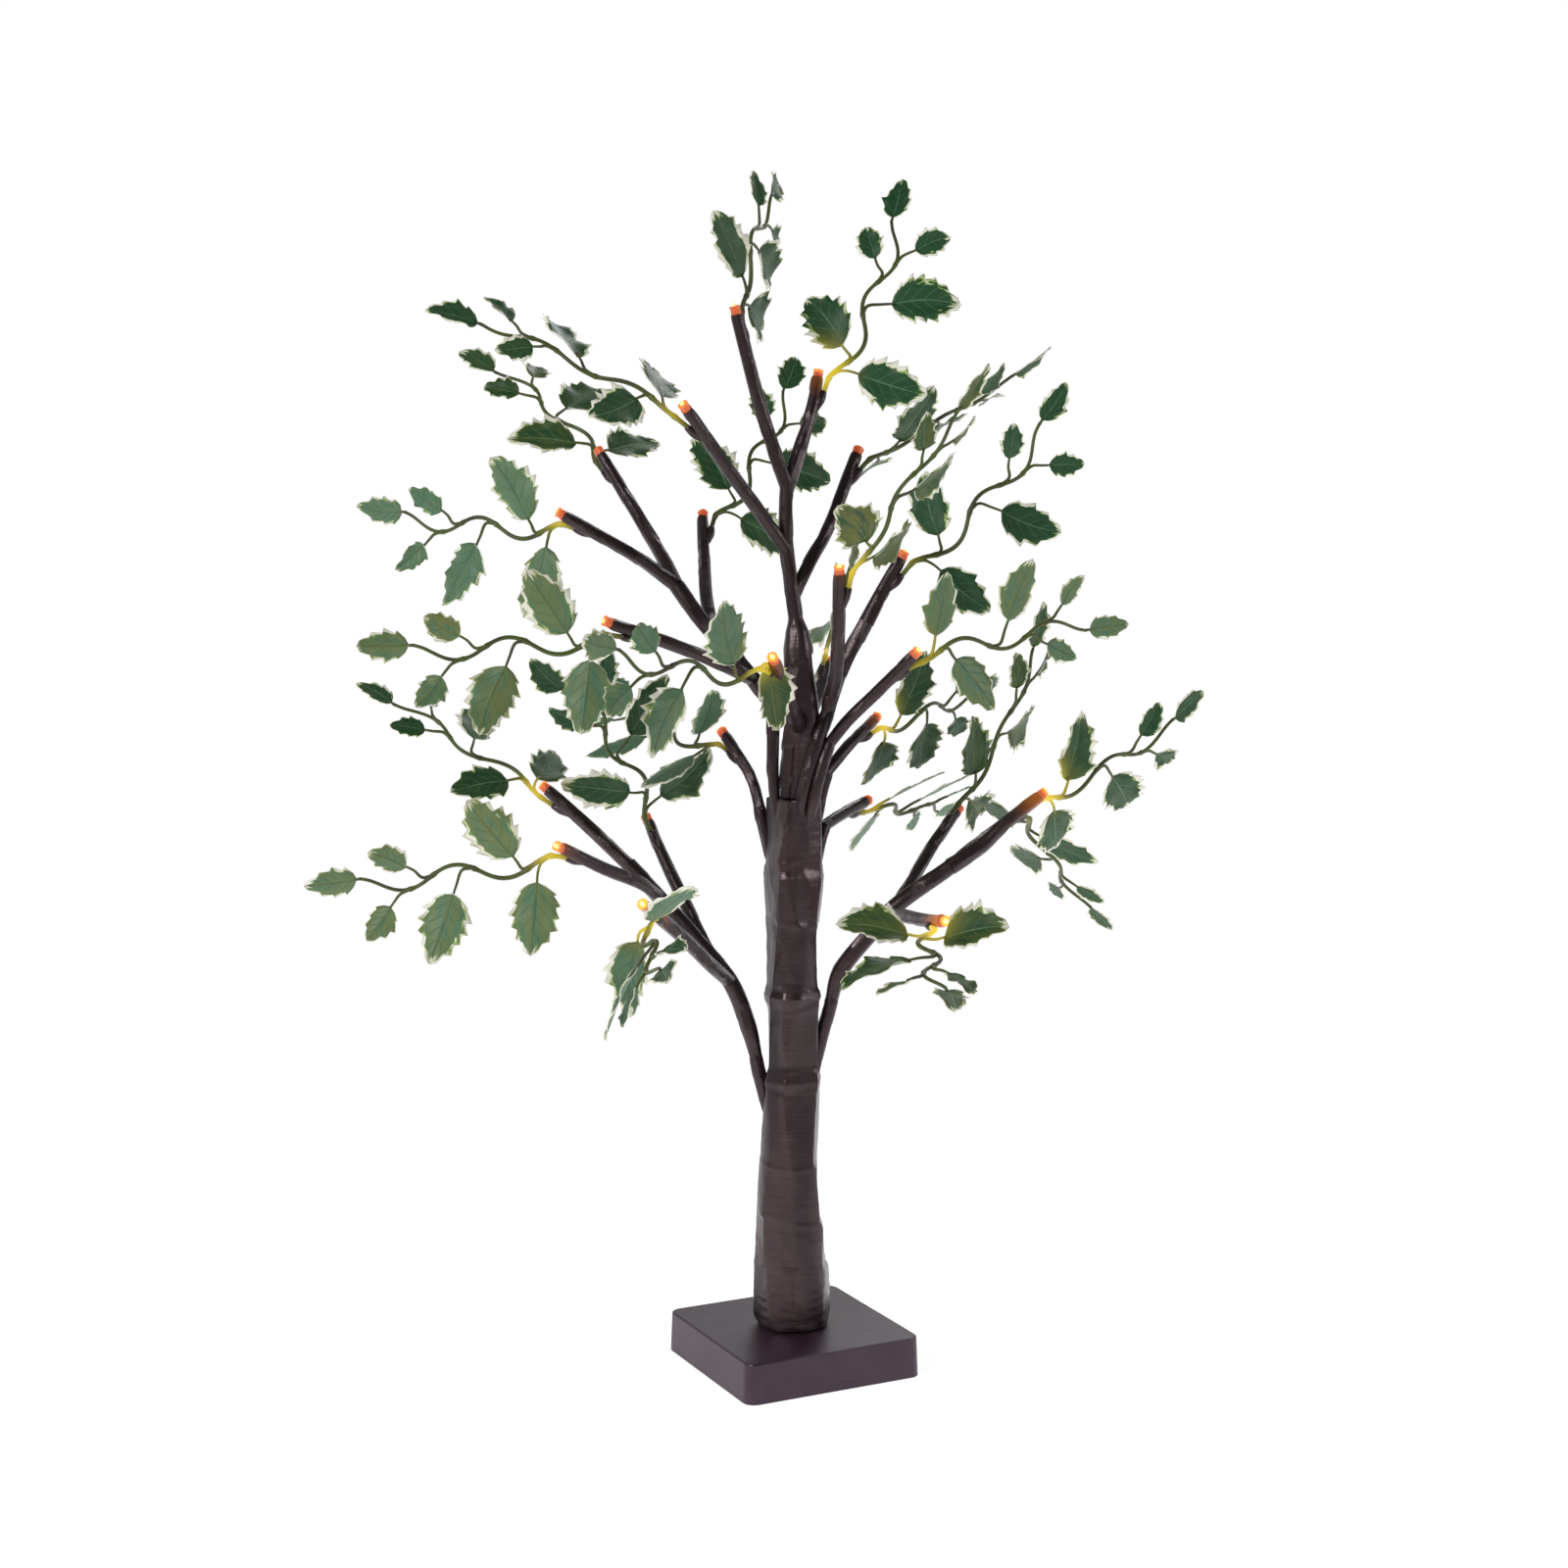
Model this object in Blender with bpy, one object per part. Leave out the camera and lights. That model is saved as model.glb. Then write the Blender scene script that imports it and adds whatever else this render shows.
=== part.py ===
"""Artificial tabletop tree with 24 lamps: a film-wrapped trunk and bendable boughs on a battery base.

Metres, +Z up.  The origin is the centre of the base's underside.
"""
import bpy
import bmesh
import numpy as np
from math import cos, radians, sin, tau
from mathutils import Matrix, Vector

# ---------------------------------------------------------------- driving dimensions
MM = 0.001
GAP = 0.3 * MM                    # between faces that touch

BASE_WALL = 2 * MM
BASE_CORNER = 6 * MM              # radius of the upright corners
BASE_DRAFT = 0.6 * MM             # how much the top is smaller, each side
BASE_EDGE = 0.8 * MM              # fillet of the top edge
PLATE_THICK = 2 * MM              # the plate is flush with the shell's rim
PLATE_RIM = 1.5 * MM              # of the plate, past the battery door

CELL_LENGTH = 49 * MM             # AA cells, without the nub
CELL_RADIUS = 7.1 * MM
CELL_NUB = (2.7 * MM, 1.1 * MM)   # radius, height
CELL_COUNT = 3
CELL_CLEAR = 0.5 * MM             # between the cells, and above them
CONTACT_ROOM = 4 * MM             # at each end of a cell, for its contact
CONTACT_THICK = 0.6 * MM
DOOR_MARGIN = 0.6 * MM            # the door past the cells, in Y
DOOR_TAB = (8 * MM, 3 * MM, 1 * MM)

SCREW_INSET = 6.5 * MM            # from the plate's edge to a screw's axis
SCREW_RADIUS = 1.2 * MM
SCREW_HEAD = 2.6 * MM
SCREW_LENGTH = 9 * MM
BOSS_RADIUS = 3 * MM

SWITCH_PLACE = (-24 * MM, 27 * MM)
SWITCH_KNOB = (4.6 * MM, 3.4 * MM)
SWITCH_TRAVEL = 2.5 * MM          # each way
SWITCH_FLANGE = 2.2 * MM          # past the slot, each side
BOARD_SIZE = (40 * MM, 26 * MM, 1.6 * MM)
BOARD_HEIGHT = 6.5 * MM           # of its underside
BOARD_PLACE = (-16 * MM, 26 * MM)
CHIP_SIZE = (10 * MM, 8 * MM, 2.4 * MM)
CHIP_PLACE = 7 * MM               # X of the chip from the board's middle
POST_RADIUS = 2 * MM

SPIGOT_RADIUS = 6.7 * MM          # the trunk's tube is pushed over it
SPIGOT_BORE = 4.6 * MM
SPIGOT_HEIGHT = 16 * MM           # above the base
LEAD_RADIUS = 1.3 * MM            # the lamp leads, bundled
LEAD_PLACE = 2.5 * MM             # Y of the leads, where they pass the cells and enter the spigot
LEAD_CLEAR = 0.9 * MM             # between the leads and the last cell

TRUNK_HEIGHT = 267 * MM           # above the base, to where the film ends and the boughs come out
TUBE_WALL = 2.4 * MM
TUBE_SHORT = 17 * MM              # the tube ends this far below the film
FOOT_PROFILE = ((0.4, 17.9), (6, 18.1), (26, 17.7), (63, 16.2))      # mm: height above the base, radius
HEAD_PROFILE = ((-147, 13.6), (-141, 14.3), (-135, 12.6), (-107, 12.8), (-98, 14.2), (-94, 12.6),
                (-62, 13.2), (-39, 14.3), (-32, 13.2), (0, 12.5))    # mm: height from the trunk's top, radius
TRUNK_SIDES = 16

WIRE_RADIUS = 1.2 * MM            # a bough's steel wire and lamp leads, bundled
BORE_RADIUS = 1.8 * MM
TWIG_TIP = 3.0 * MM               # radius of the film at a twig's tip
LAMP_RADIUS = 2.7 * MM
LAMP_LENGTH = 6.5 * MM
LAMP_STEP = 0.4 * MM              # the lamp's holder ahead of the film's end
LAMP_PROFILE = ((0, 0.8), (0.15, 1.0), (0.6, 1.0), (0.62, 0.55), (0.9, 0.5), (1.0, 0.25))     # shares of both

STEM_RADIUS = 1.15 * MM
STEM_LENGTH = 102 * MM
STEM_WAVE = 4.6 * MM              # height of the stem's wave
STEM_WAVELENGTH = 52 * MM
STEM_FIRST_CREST = 28 * MM        # from the root, on the first leaf's side
LEAF_THICK = 0.8 * MM
LEAF_LARGE = (36 * MM, 23 * MM)   # length, width
LEAF_SMALL = (20 * MM, 13.5 * MM)
LEAF_END = (25 * MM, 14 * MM)
LEAF_OUTLINE = ((0.2, 0.75), (0.55, 0.95), (1.0, 0.0), (0.55, -0.95), (0.2, -0.75))    # shares of both
STALK_WIDTH = 1.8 * MM

CELL_PITCH = 2 * CELL_RADIUS + CELL_CLEAR
CELL_LAST = LEAD_PLACE - LEAD_RADIUS - LEAD_CLEAR - CELL_RADIUS      # Y of the last cell's axis
CELL_FIRST = CELL_LAST - (CELL_COUNT - 1) * CELL_PITCH
DOOR_EDGE = CELL_FIRST - CELL_RADIUS - DOOR_MARGIN                   # Y of the door's outer edge
BASE_SIDE = 2 * (GAP + PLATE_RIM + GAP + BASE_WALL - DOOR_EDGE)
BASE_HEIGHT = PLATE_THICK + GAP + DOOR_TAB[2] + 2 * CELL_RADIUS + CELL_CLEAR + BASE_WALL
TRUNK_TOP = BASE_HEIGHT + TRUNK_HEIGHT
TUBE_TOP = TRUNK_TOP - TUBE_SHORT
SPIGOT_TOP = BASE_HEIGHT + SPIGOT_HEIGHT

CROWN_TURN = radians(-26.6)       # the crown spreads in a plane turned about Z from the base's front
ACROSS = np.array((cos(CROWN_TURN), sin(CROWN_TURN), 0.0))
BACK = np.array((-sin(CROWN_TURN), cos(CROWN_TURN), 0.0))
UP = np.array((0.0, 0.0, 1.0))

# ---------------------------------------------------------------- layout of the crown
# Each bough is a list of limbs.  A limb is its name, the film's radius at its foot, and its points from foot
# to tip as (across, back, up) in mm, where up is the height above the trunk's top.  A limb named with a
# number ends in the lamp of that number.
BOUGHS = {
    "leader": (
        ("stem", 10.6, ((3, 0, 0.4), (4, 0, 31), (4, 0, 49), (3, 0, 59), (2, 0, 84), (-3, 0, 122),
                        (-3, 0, 155))),
        (1, 3.6, ((-3, 0, 153), (-11, -2, 175), (-17, -5, 195), (-27, -10, 234))),
        (2, 3.6, ((-3, 0, 151), (3, 7, 169), (9, 13, 189), (12, 20, 205))),
        (3, 3.4, ((-3, 0, 121), (-11, -6, 133), (-32, -21, 162), (-50, -34, 188))),
        (8, 3.4, ((0, 0, 99), (8, 9, 115), (18, 22, 133), (32, 42, 168))),
        (11, 4.0, ((4, 0, 33), (-2, -22, 50), (-9, -50, 71))),
        (12, 4.0, ((4, 0, 27), (11, 26, 45), (19, 52, 62))),
    ),
    "upper_left": (
        ("stem", 3.2, ((-10, 0, 46), (-16, 0, 54), (-28, 0, 69), (-44, 5, 86), (-57, 8, 104))),
        (4, 3.5, ((-57, 8, 104), (-66, 24, 120), (-76, 38, 135), (-90, 53, 157), (-97, 59, 168))),
        (5, 3.5, ((-57, 8, 104), (-68, 9, 112), (-82, 10, 121), (-112, 11, 138))),
        (6, 3.3, ((-39, 4, 81), (-43, 28, 97), (-45, 56, 118), (-46, 73, 136))),
        (7, 3.4, ((-19, 0, 58), (-30, -16, 65), (-54, -28, 76), (-86, -39, 88))),
    ),
    "upper_right": (
        ("stem", 3.2, ((17, -2, 41), (19, -2, 51), (26, 3, 68), (36, 5, 86))),
        (9, 3.6, ((19, -3, 52), (21, -12, 65), (22, -22, 89), (22, -29, 111))),
        (10, 3.8, ((36, 5, 86), (44, 7, 101), (53, 10, 117))),
    ),
    "right_high": ((13, 2.8, ((17, -5, 26), (27, -7, 39), (43, -10, 55), (58, -15, 71))),),
    "right_middle": ((14, 2.8, ((16, 7, 11), (29, 20, 25), (41, 38, 35))),),
    "right_low": ((16, 2.8, ((15, 12, -16), (24, 26, -12), (37, 48, -8))),),
    "left_middle": ((15, 2.8, ((-16, 6, -7), (-21, 12, 9), (-34, 28, 28))),),
    "lower_left": (
        ("stem", 3.0, ((-18, 0, -131), (-22, 0, -115), (-31, 0, -92), (-50, 4, -69), (-66, 8, -51),
                       (-82, 13, -35))),
        (17, 3.5, ((-82, 13, -35), (-101, 19, -18), (-123, 25, 1))),
        (18, 3.3, ((-66, 8, -51), (-75, -8, -41), (-92, -26, -31), (-110, -43, -19))),
        (19, 3.4, ((-31, 0, -92), (-42, 11, -79), (-52, 24, -61), (-67, 44, -34), (-74, 53, -19))),
        (20, 3.4, ((-31, 0, -92), (-41, -24, -78), (-54, -56, -58), (-68, -85, -40))),
    ),
    "lower_right": (
        ("stem", 3.0, ((19, 0, -102), (24, 0, -86), (40, 0, -66), (52, 0, -53), (78, 4, -35))),
        (21, 3.4, ((52, 0, -53), (61, 18, -42), (71, 36, -29), (84, 53, -14))),
        (22, 4.2, ((78, 4, -35), (94, 8, -25), (106, 11, -14), (123, 15, -1))),
        (23, 3.4, ((48, -1, -57), (55, -24, -55), (62, -46, -53), (70, -72, -49))),
        (24, 3.4, ((78, 4, -35), (92, 24, -27), (108, 49, -20), (123, 71, -12))),
    ),
}
BOUGH_RADIUS = 4.2 * MM           # the film's radius along a bough's stem
LEADER_RADII = (10.6, 10.2, 9.0, 7.6, 4.6, 3.8, 3.6)      # mm, at the leader's points

# Leaf sprays, one beside each lamp: (turn, lean, roll, bend, size).  turn is the heading in the crown's
# plane, 0 to the right and 90 up; lean tips it back (+) or forward (-); roll turns the flat spray about its
# heading; bend curves the stem in its own plane; all in degrees.  A negative size mirrors the spray.
SPRAYS = {
    1: (78, 45, 65, -50, 1.0),
    2: (68, 20, -10, 10, 1.0),
    3: (155, -15, 60, 10, 1.1),
    4: (140, 35, 50, 15, 1.0),
    5: (176, 25, -5, 0, -1.0),
    6: (62, 35, 10, 5, 1.0),
    7: (182, -15, 5, 5, -1.0),
    8: (30, 20, 75, 0, 1.0),
    9: (58, -15, 60, -30, 1.0),
    10: (47, 5, 0, 10, 1.03),
    11: (168, -45, 0, -5, -1.0),
    12: (72, 50, 90, 10, 1.0),
    13: (9, 22, 10, 5, -1.0),
    14: (14, 52, 35, -15, 1.0),
    15: (160, 53, 40, -15, -1.0),
    16: (-14, 62, 40, 10, -1.0),
    17: (150, 15, 60, -10, 1.0),
    18: (186, -5, 0, 5, -1.0),
    19: (118, -30, 10, 15, 1.0),
    20: (320, -84, 0, 0, 1.0),
    21: (64, 5, 60, 35, 1.0),
    22: (27, 28, 35, 0, 1.0),
    23: (270, -84, 0, 0, 1.0),
    24: (-55, 40, 60, 10, 1.0),
}
SPRAY_DROP = 3 * MM               # a spray leaves its twig this far below the film's end
SPRAY_BIND = 9 * MM               # and runs beside the twig over this length

# A spray's six leaves: station along the stem, side, stalk length, angle from the stem, roll, size.
LEAVES = (
    (0.03, -1, 14 * MM, 82, 12, LEAF_LARGE),
    (0.15, 1, 9 * MM, 58, -14, LEAF_LARGE),
    (0.44, -1, 15 * MM, 66, 10, LEAF_LARGE),
    (0.64, 1, 13 * MM, 35, -18, LEAF_SMALL),
    (0.77, -1, 13 * MM, 48, 16, LEAF_SMALL),
    (1.00, 1, 2 * MM, 5, -8, LEAF_END),
)
STALK_REACH = 0.7                 # a stalk's angle from the stem, as a share of its leaf's


def unit(vector):
    """A vector's direction."""
    return vector / np.linalg.norm(vector)


def crown_point(across, back, up):
    """A point of the crown in metres from the trunk's top, where its objects have their origins."""
    return (across * ACROSS + back * BACK + up * UP) * MM


def turned(vector, axis, angle):
    """A vector turned about a unit axis."""
    return (vector * cos(angle) + np.cross(axis, vector) * sin(angle)
            + axis * np.dot(axis, vector) * (1 - cos(angle)))


def twig_route(lamp):
    """The points of the limb that ends in a lamp."""
    for limbs in BOUGHS.values():
        for name, _, points in limbs:
            if name == lamp:
                return [crown_point(*point) for point in points]
    raise ValueError(f"no limb ends in lamp {lamp}")


def spray_frame(lamp):
    """A spray's root on its twig, and its heading, side and face directions."""
    turn, lean, roll, _, _ = SPRAYS[lamp]
    heading = turned(ACROSS, -BACK, radians(turn))
    side = turned(UP, -BACK, radians(turn))
    heading, face = (heading * cos(radians(lean)) + BACK * sin(radians(lean)),
                     BACK * -cos(radians(lean)) + heading * sin(radians(lean)))
    side = turned(side, heading, radians(roll))
    face = turned(face, heading, radians(roll))
    foot, tip = twig_route(lamp)[-2:]
    axis = unit(tip - foot)
    out = unit(heading - axis * np.dot(heading, axis))
    root = tip - axis * SPRAY_DROP + out * (LAMP_RADIUS + STEM_RADIUS * 1.5 + GAP)
    return root, heading, side, face


def spray_binding(lamp):
    """The foot of a spray's stem, where the twig's film binds it, and the twig's direction."""
    root, _, _, _ = spray_frame(lamp)
    foot, tip = twig_route(lamp)[-2:]
    axis = unit(tip - foot)
    return root - axis * SPRAY_BIND, axis


def spray_stem(lamp, steps):
    """Points and headings along a spray's stem: a wave on a gentle bend."""
    _, _, _, bend, size = SPRAYS[lamp]
    root, heading, side, _ = spray_frame(lamp)
    hand = 1 if size > 0 else -1
    length = STEM_LENGTH * abs(size)
    points, headings = [root], []
    for step in range(steps):
        share = (step + 0.5) / steps
        turn = tau * (share * length - STEM_FIRST_CREST) / STEM_WAVELENGTH
        angle = radians(bend) * (share - 0.5) + hand * STEM_WAVE * tau / STEM_WAVELENGTH * sin(turn)
        headings.append(heading * cos(angle) + side * sin(angle))
        points.append(points[-1] + headings[-1] * length / steps)
    headings.append(headings[-1])
    return points, headings


def spray_leaves(lamp):
    """Each leaf of a spray: its stalk's foot, direction, side and face, the stalk's length, the leaf's swing
    from the stalk in that plane, and its size."""
    _, _, _, bend, size = SPRAYS[lamp]
    _, heading, side, face = spray_frame(lamp)
    hand = 1 if size > 0 else -1
    steps = 50
    points, _ = spray_stem(lamp, steps)
    rows = []
    for station, leaf_side, stalk, angle, roll, leaf_size in LEAVES:
        foot = points[round(station * steps)]
        swing = hand * leaf_side * radians(angle)
        reach = radians(bend) * (station - 0.5) + swing * STALK_REACH
        along = heading * cos(reach) + side * sin(reach)
        across = turned(side * cos(reach) - heading * sin(reach), along, radians(roll))
        rows.append((foot, along, across, turned(face, along, radians(roll)), stalk,
                     swing * (1 - STALK_REACH), leaf_size))
    return rows


# ---------------------------------------------------------------- shapes
def material(name, colour, roughness, metallic=0.0, glow=0.0):
    """A Principled material."""
    made = bpy.data.materials.new(name)
    made.use_nodes = True
    shader = made.node_tree.nodes["Principled BSDF"]
    shader.inputs["Base Color"].default_value = (*colour, 1.0)
    shader.inputs["Roughness"].default_value = roughness
    shader.inputs["Metallic"].default_value = metallic
    shader.inputs["Emission Color"].default_value = (*colour, 1.0)
    shader.inputs["Emission Strength"].default_value = glow
    return made


def add_object(name, mesh, finish, smooth=True, height=0.0):
    """An object in the scene, with one material and its origin at a height."""
    mesh.materials.clear()
    mesh.materials.append(finish)
    if smooth:
        mesh.shade_smooth()
        mesh.set_sharp_from_angle(angle=radians(40))
    made = bpy.data.objects.new(name, mesh)
    made.location.z = height
    bpy.context.scene.collection.objects.link(made)
    return made


def add_helper(name, mesh, height=0.0):
    """An object that only cuts or joins another."""
    made = bpy.data.objects.new(name, mesh)
    made.location.z = height
    bpy.context.scene.collection.objects.link(made)
    made.display_type = 'WIRE'
    made.hide_render = True
    return made


def boolean(target, helper, operation):
    """Join or cut an object with a helper, whose own shells may cross each other."""
    step = target.modifiers.new(helper.name, 'BOOLEAN')
    step.object = helper
    step.operation = operation
    step.use_self = operation == 'UNION'
    return step


def mesh_from(bm, name):
    """A mesh from a bmesh, which is freed."""
    mesh = bpy.data.meshes.new(name)
    bm.to_mesh(mesh)
    bm.free()
    return mesh


def tubes(name, routes, resolution):
    """A mesh of closed round tubes, each a list of (point, radius); resolution 0 is square, 2 has 8 sides."""
    curve = bpy.data.curves.new(name, 'CURVE')
    curve.dimensions = '3D'
    curve.bevel_depth = 1.0
    curve.bevel_resolution = resolution
    curve.resolution_u = 1
    curve.render_resolution_u = 0
    curve.use_fill_caps = True
    for route in routes:
        spline = curve.splines.new('POLY')
        spline.points.add(len(route) - 1)
        for point, (place, radius) in zip(spline.points, route):
            point.co = (*place, 1.0)
            point.radius = radius
    holder = bpy.data.objects.new(name, curve)
    mesh = bpy.data.meshes.new_from_object(holder)
    bpy.data.objects.remove(holder)
    bpy.data.curves.remove(curve)
    bm = bmesh.new()
    bm.from_mesh(mesh)
    bmesh.ops.remove_doubles(bm, verts=bm.verts, dist=1e-7)
    bmesh.ops.recalc_face_normals(bm, faces=bm.faces)
    bm.to_mesh(mesh)
    bm.free()
    return mesh


def add_cylinder(bm, centre, radius, low, high, sides=16, top_radius=None):
    """An upright cylinder or cone in a bmesh, between two heights."""
    place = Matrix.Translation((centre[0], centre[1], (low + high) / 2))
    top_radius = radius if top_radius is None else top_radius
    bmesh.ops.create_cone(bm, cap_ends=True, segments=sides, radius1=radius, radius2=top_radius,
                          depth=high - low, matrix=place)


def add_box(bm, low, high):
    """A box in a bmesh, from its lowest to its highest corner."""
    low, high = Vector(low), Vector(high)
    place = Matrix.Translation((low + high) / 2) @ Matrix.Diagonal((*(high - low), 1.0))
    return bmesh.ops.create_cube(bm, size=1.0, matrix=place)["verts"]


def rounded_box(low, high, corner, segments=5):
    """A box with round upright corners."""
    bm = bmesh.new()
    add_box(bm, low, high)
    upright = [edge for edge in bm.edges if abs(edge.verts[0].co.z - edge.verts[1].co.z) > corner * 0.01
               and (edge.verts[0].co.xy - edge.verts[1].co.xy).length < MM * 0.01]
    bmesh.ops.bevel(bm, geom=upright, offset=corner, segments=segments, profile=0.5, affect='EDGES')
    return bm


# ---------------------------------------------------------------- base
def plate_half():
    """Half the bottom plate's side, inside the shell's wall."""
    return BASE_SIDE / 2 - BASE_WALL - GAP


def screw_places():
    """The four screws' axes, one near each corner."""
    reach = plate_half() - SCREW_INSET
    return [(x * reach, y * reach) for x in (-1, 1) for y in (-1, 1)]


def base_shell(finish):
    """The upper shell: a shallow box, open below, with screw bosses and the trunk's spigot."""
    half = BASE_SIDE / 2
    bm = rounded_box((-half, -half, 0), (half, half, BASE_HEIGHT), BASE_CORNER)
    top = [vert for vert in bm.verts if vert.co.z > BASE_HEIGHT / 2]
    bmesh.ops.scale(bm, vec=(1 - BASE_DRAFT / half, 1 - BASE_DRAFT / half, 1), verts=top)
    rim = [edge for edge in bm.edges if min(vert.co.z for vert in edge.verts) > BASE_HEIGHT / 2]
    bmesh.ops.bevel(bm, geom=rim, offset=BASE_EDGE, segments=2, profile=0.5, affect='EDGES')
    shell = add_object("base_shell", mesh_from(bm, "base_shell"), finish)
    ceiling = BASE_HEIGHT - BASE_WALL
    inner = half - BASE_WALL
    hollow = rounded_box((-inner, -inner, -MM), (inner, inner, ceiling), BASE_CORNER - BASE_WALL)
    boolean(shell, add_helper("shell_hollow", mesh_from(hollow, "hollow")), 'DIFFERENCE')
    solid = bmesh.new()
    for place in screw_places():
        add_cylinder(solid, place, BOSS_RADIUS, PLATE_THICK + GAP, ceiling + BASE_WALL / 2)
    add_cylinder(solid, (0, 0), SPIGOT_RADIUS, ceiling + BASE_WALL / 2, SPIGOT_TOP)
    boolean(shell, add_helper("shell_bosses", mesh_from(solid, "bosses")), 'UNION')
    holes = bmesh.new()
    for place in screw_places():
        add_cylinder(holes, place, SCREW_RADIUS + GAP, 0, SCREW_LENGTH + MM, 12)
    add_cylinder(holes, (0, 0), SPIGOT_BORE, ceiling - MM, SPIGOT_TOP + MM)
    boolean(shell, add_helper("shell_holes", mesh_from(holes, "holes")), 'DIFFERENCE')


def cell_rows():
    """The Y of each cell's axis."""
    return [CELL_FIRST + index * CELL_PITCH for index in range(CELL_COUNT)]


def door_box():
    """The door's lowest and highest corner."""
    rows = cell_rows()
    reach = CELL_LENGTH / 2 + CONTACT_ROOM + CONTACT_THICK
    return ((-reach, DOOR_EDGE, 0),
            (reach, rows[-1] + CELL_RADIUS + DOOR_MARGIN, PLATE_THICK))


def post_places():
    """The two posts that hold the board."""
    reach = BOARD_SIZE[0] / 2 - POST_RADIUS
    edge = BOARD_PLACE[1] + BOARD_SIZE[1] / 2 - POST_RADIUS
    return [(BOARD_PLACE[0] + side * reach, edge) for side in (-1, 1)]


def base_plate(finish):
    """The bottom plate, with the door's opening, the switch's slot, screw holes and the board's posts."""
    half = plate_half()
    bm = rounded_box((-half, -half, 0), (half, half, PLATE_THICK), BASE_CORNER - BASE_WALL - GAP)
    plate = add_object("base_plate", mesh_from(bm, "base_plate"), finish)
    posts = bmesh.new()
    for place in post_places():
        add_cylinder(posts, place, POST_RADIUS, PLATE_THICK / 2, BOARD_HEIGHT - GAP, 12)
    boolean(plate, add_helper("plate_posts", mesh_from(posts, "posts")), 'UNION')
    low, high = door_box()
    cuts = bmesh.new()
    add_box(cuts, (low[0] - GAP, low[1] - GAP, -MM), (high[0] + GAP, high[1] + GAP, PLATE_THICK + MM))
    slot = (SWITCH_KNOB[0] / 2 + SWITCH_TRAVEL + GAP, SWITCH_KNOB[1] / 2 + GAP)
    add_box(cuts, (SWITCH_PLACE[0] - slot[0], SWITCH_PLACE[1] - slot[1], -MM),
            (SWITCH_PLACE[0] + slot[0], SWITCH_PLACE[1] + slot[1], PLATE_THICK + MM))
    head_depth = SCREW_HEAD - SCREW_RADIUS
    hole = SCREW_RADIUS + GAP
    for place in screw_places():
        add_cylinder(cuts, place, SCREW_HEAD + GAP + MM / 2, -MM / 2, head_depth + GAP, top_radius=hole)
        add_cylinder(cuts, place, hole, head_depth, PLATE_THICK + MM)
    cutter = boolean(plate, add_helper("plate_cuts", mesh_from(cuts, "cuts")), 'DIFFERENCE')
    cutter.use_self = True


def battery_door(finish):
    """The door over the cells, with two tabs that hook over the plate at its inner edge."""
    low, high = door_box()
    bm = bmesh.new()
    add_box(bm, low, high)
    door = add_object("battery_door", mesh_from(bm, "battery_door"), finish, smooth=False)
    tabs = bmesh.new()
    width, reach, thick = DOOR_TAB
    for side in (-1, 1):
        middle = side * high[0] / 2
        add_box(tabs, (middle - width / 2, high[1] - reach, PLATE_THICK - MM / 2),
                (middle + width / 2, high[1] - MM / 2, PLATE_THICK + GAP + thick))
        add_box(tabs, (middle - width / 2, high[1] - reach, PLATE_THICK + GAP),
                (middle + width / 2, high[1] + reach / 2, PLATE_THICK + GAP + thick))
    boolean(door, add_helper("door_tabs", mesh_from(tabs, "tabs")), 'UNION')
    notch = bmesh.new()
    add_cylinder(notch, (0, low[1]), DOOR_TAB[0] / 2, -MM, PLATE_THICK / 2, 16)
    boolean(door, add_helper("door_notch", mesh_from(notch, "notch")), 'DIFFERENCE')


def cell_height():
    """The height of the cells' axes."""
    return PLATE_THICK + GAP + DOOR_TAB[2] + CELL_RADIUS


def battery_cells(finish):
    """The cells, lying side by side and facing alternate ways."""
    for index, row in enumerate(cell_rows()):
        way = 1 if index % 2 == 0 else -1
        stations = ((-CELL_LENGTH / 2, CELL_RADIUS), (CELL_LENGTH / 2, CELL_RADIUS),
                    (CELL_LENGTH / 2, CELL_NUB[0]), (CELL_LENGTH / 2 + CELL_NUB[1], CELL_NUB[0]))
        route = [((way * x, row, cell_height()), radius) for x, radius in stations[:2]]
        nub = [((way * (x - MM * (x < CELL_LENGTH / 2 + MM / 2)), row, cell_height()), radius)
               for x, radius in stations[2:]]
        cell = add_object(f"battery_cell_{index + 1}", tubes("cell", [route], 5), finish)
        boolean(cell, add_helper(f"cell_nub_{index + 1}", tubes("nub", [nub], 2)), 'UNION')


def contacts(finish):
    """A contact strip past each end of the cells, with a button or spring against each cell."""
    rows = cell_rows()
    top = cell_height() + CELL_RADIUS / 2
    for side, name in ((-1, "contact_strip_left"), (1, "contact_strip_right")):
        face = side * (CELL_LENGTH / 2 + CONTACT_ROOM)
        bm = bmesh.new()
        add_box(bm, (min(face, face + side * CONTACT_THICK), rows[0] - CELL_RADIUS / 2, PLATE_THICK + 2 * MM),
                (max(face, face + side * CONTACT_THICK), rows[-1] + CELL_RADIUS / 2, top))
        strip = add_object(name, mesh_from(bm, name), finish, smooth=False)
        springs = []
        for index, row in enumerate(rows):
            nub_side = 1 if index % 2 == 0 else -1
            room = CELL_NUB[1] if nub_side == side else 0.0
            reach = side * (CELL_LENGTH / 2 + room + GAP)
            springs.append([((face + side * CONTACT_THICK / 2, row, cell_height()), CELL_NUB[0]),
                            ((reach, row, cell_height()), CELL_NUB[0] * 0.7)])
        boolean(strip, add_helper(name + "_springs", tubes("springs", springs, 2)), 'UNION')


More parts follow.
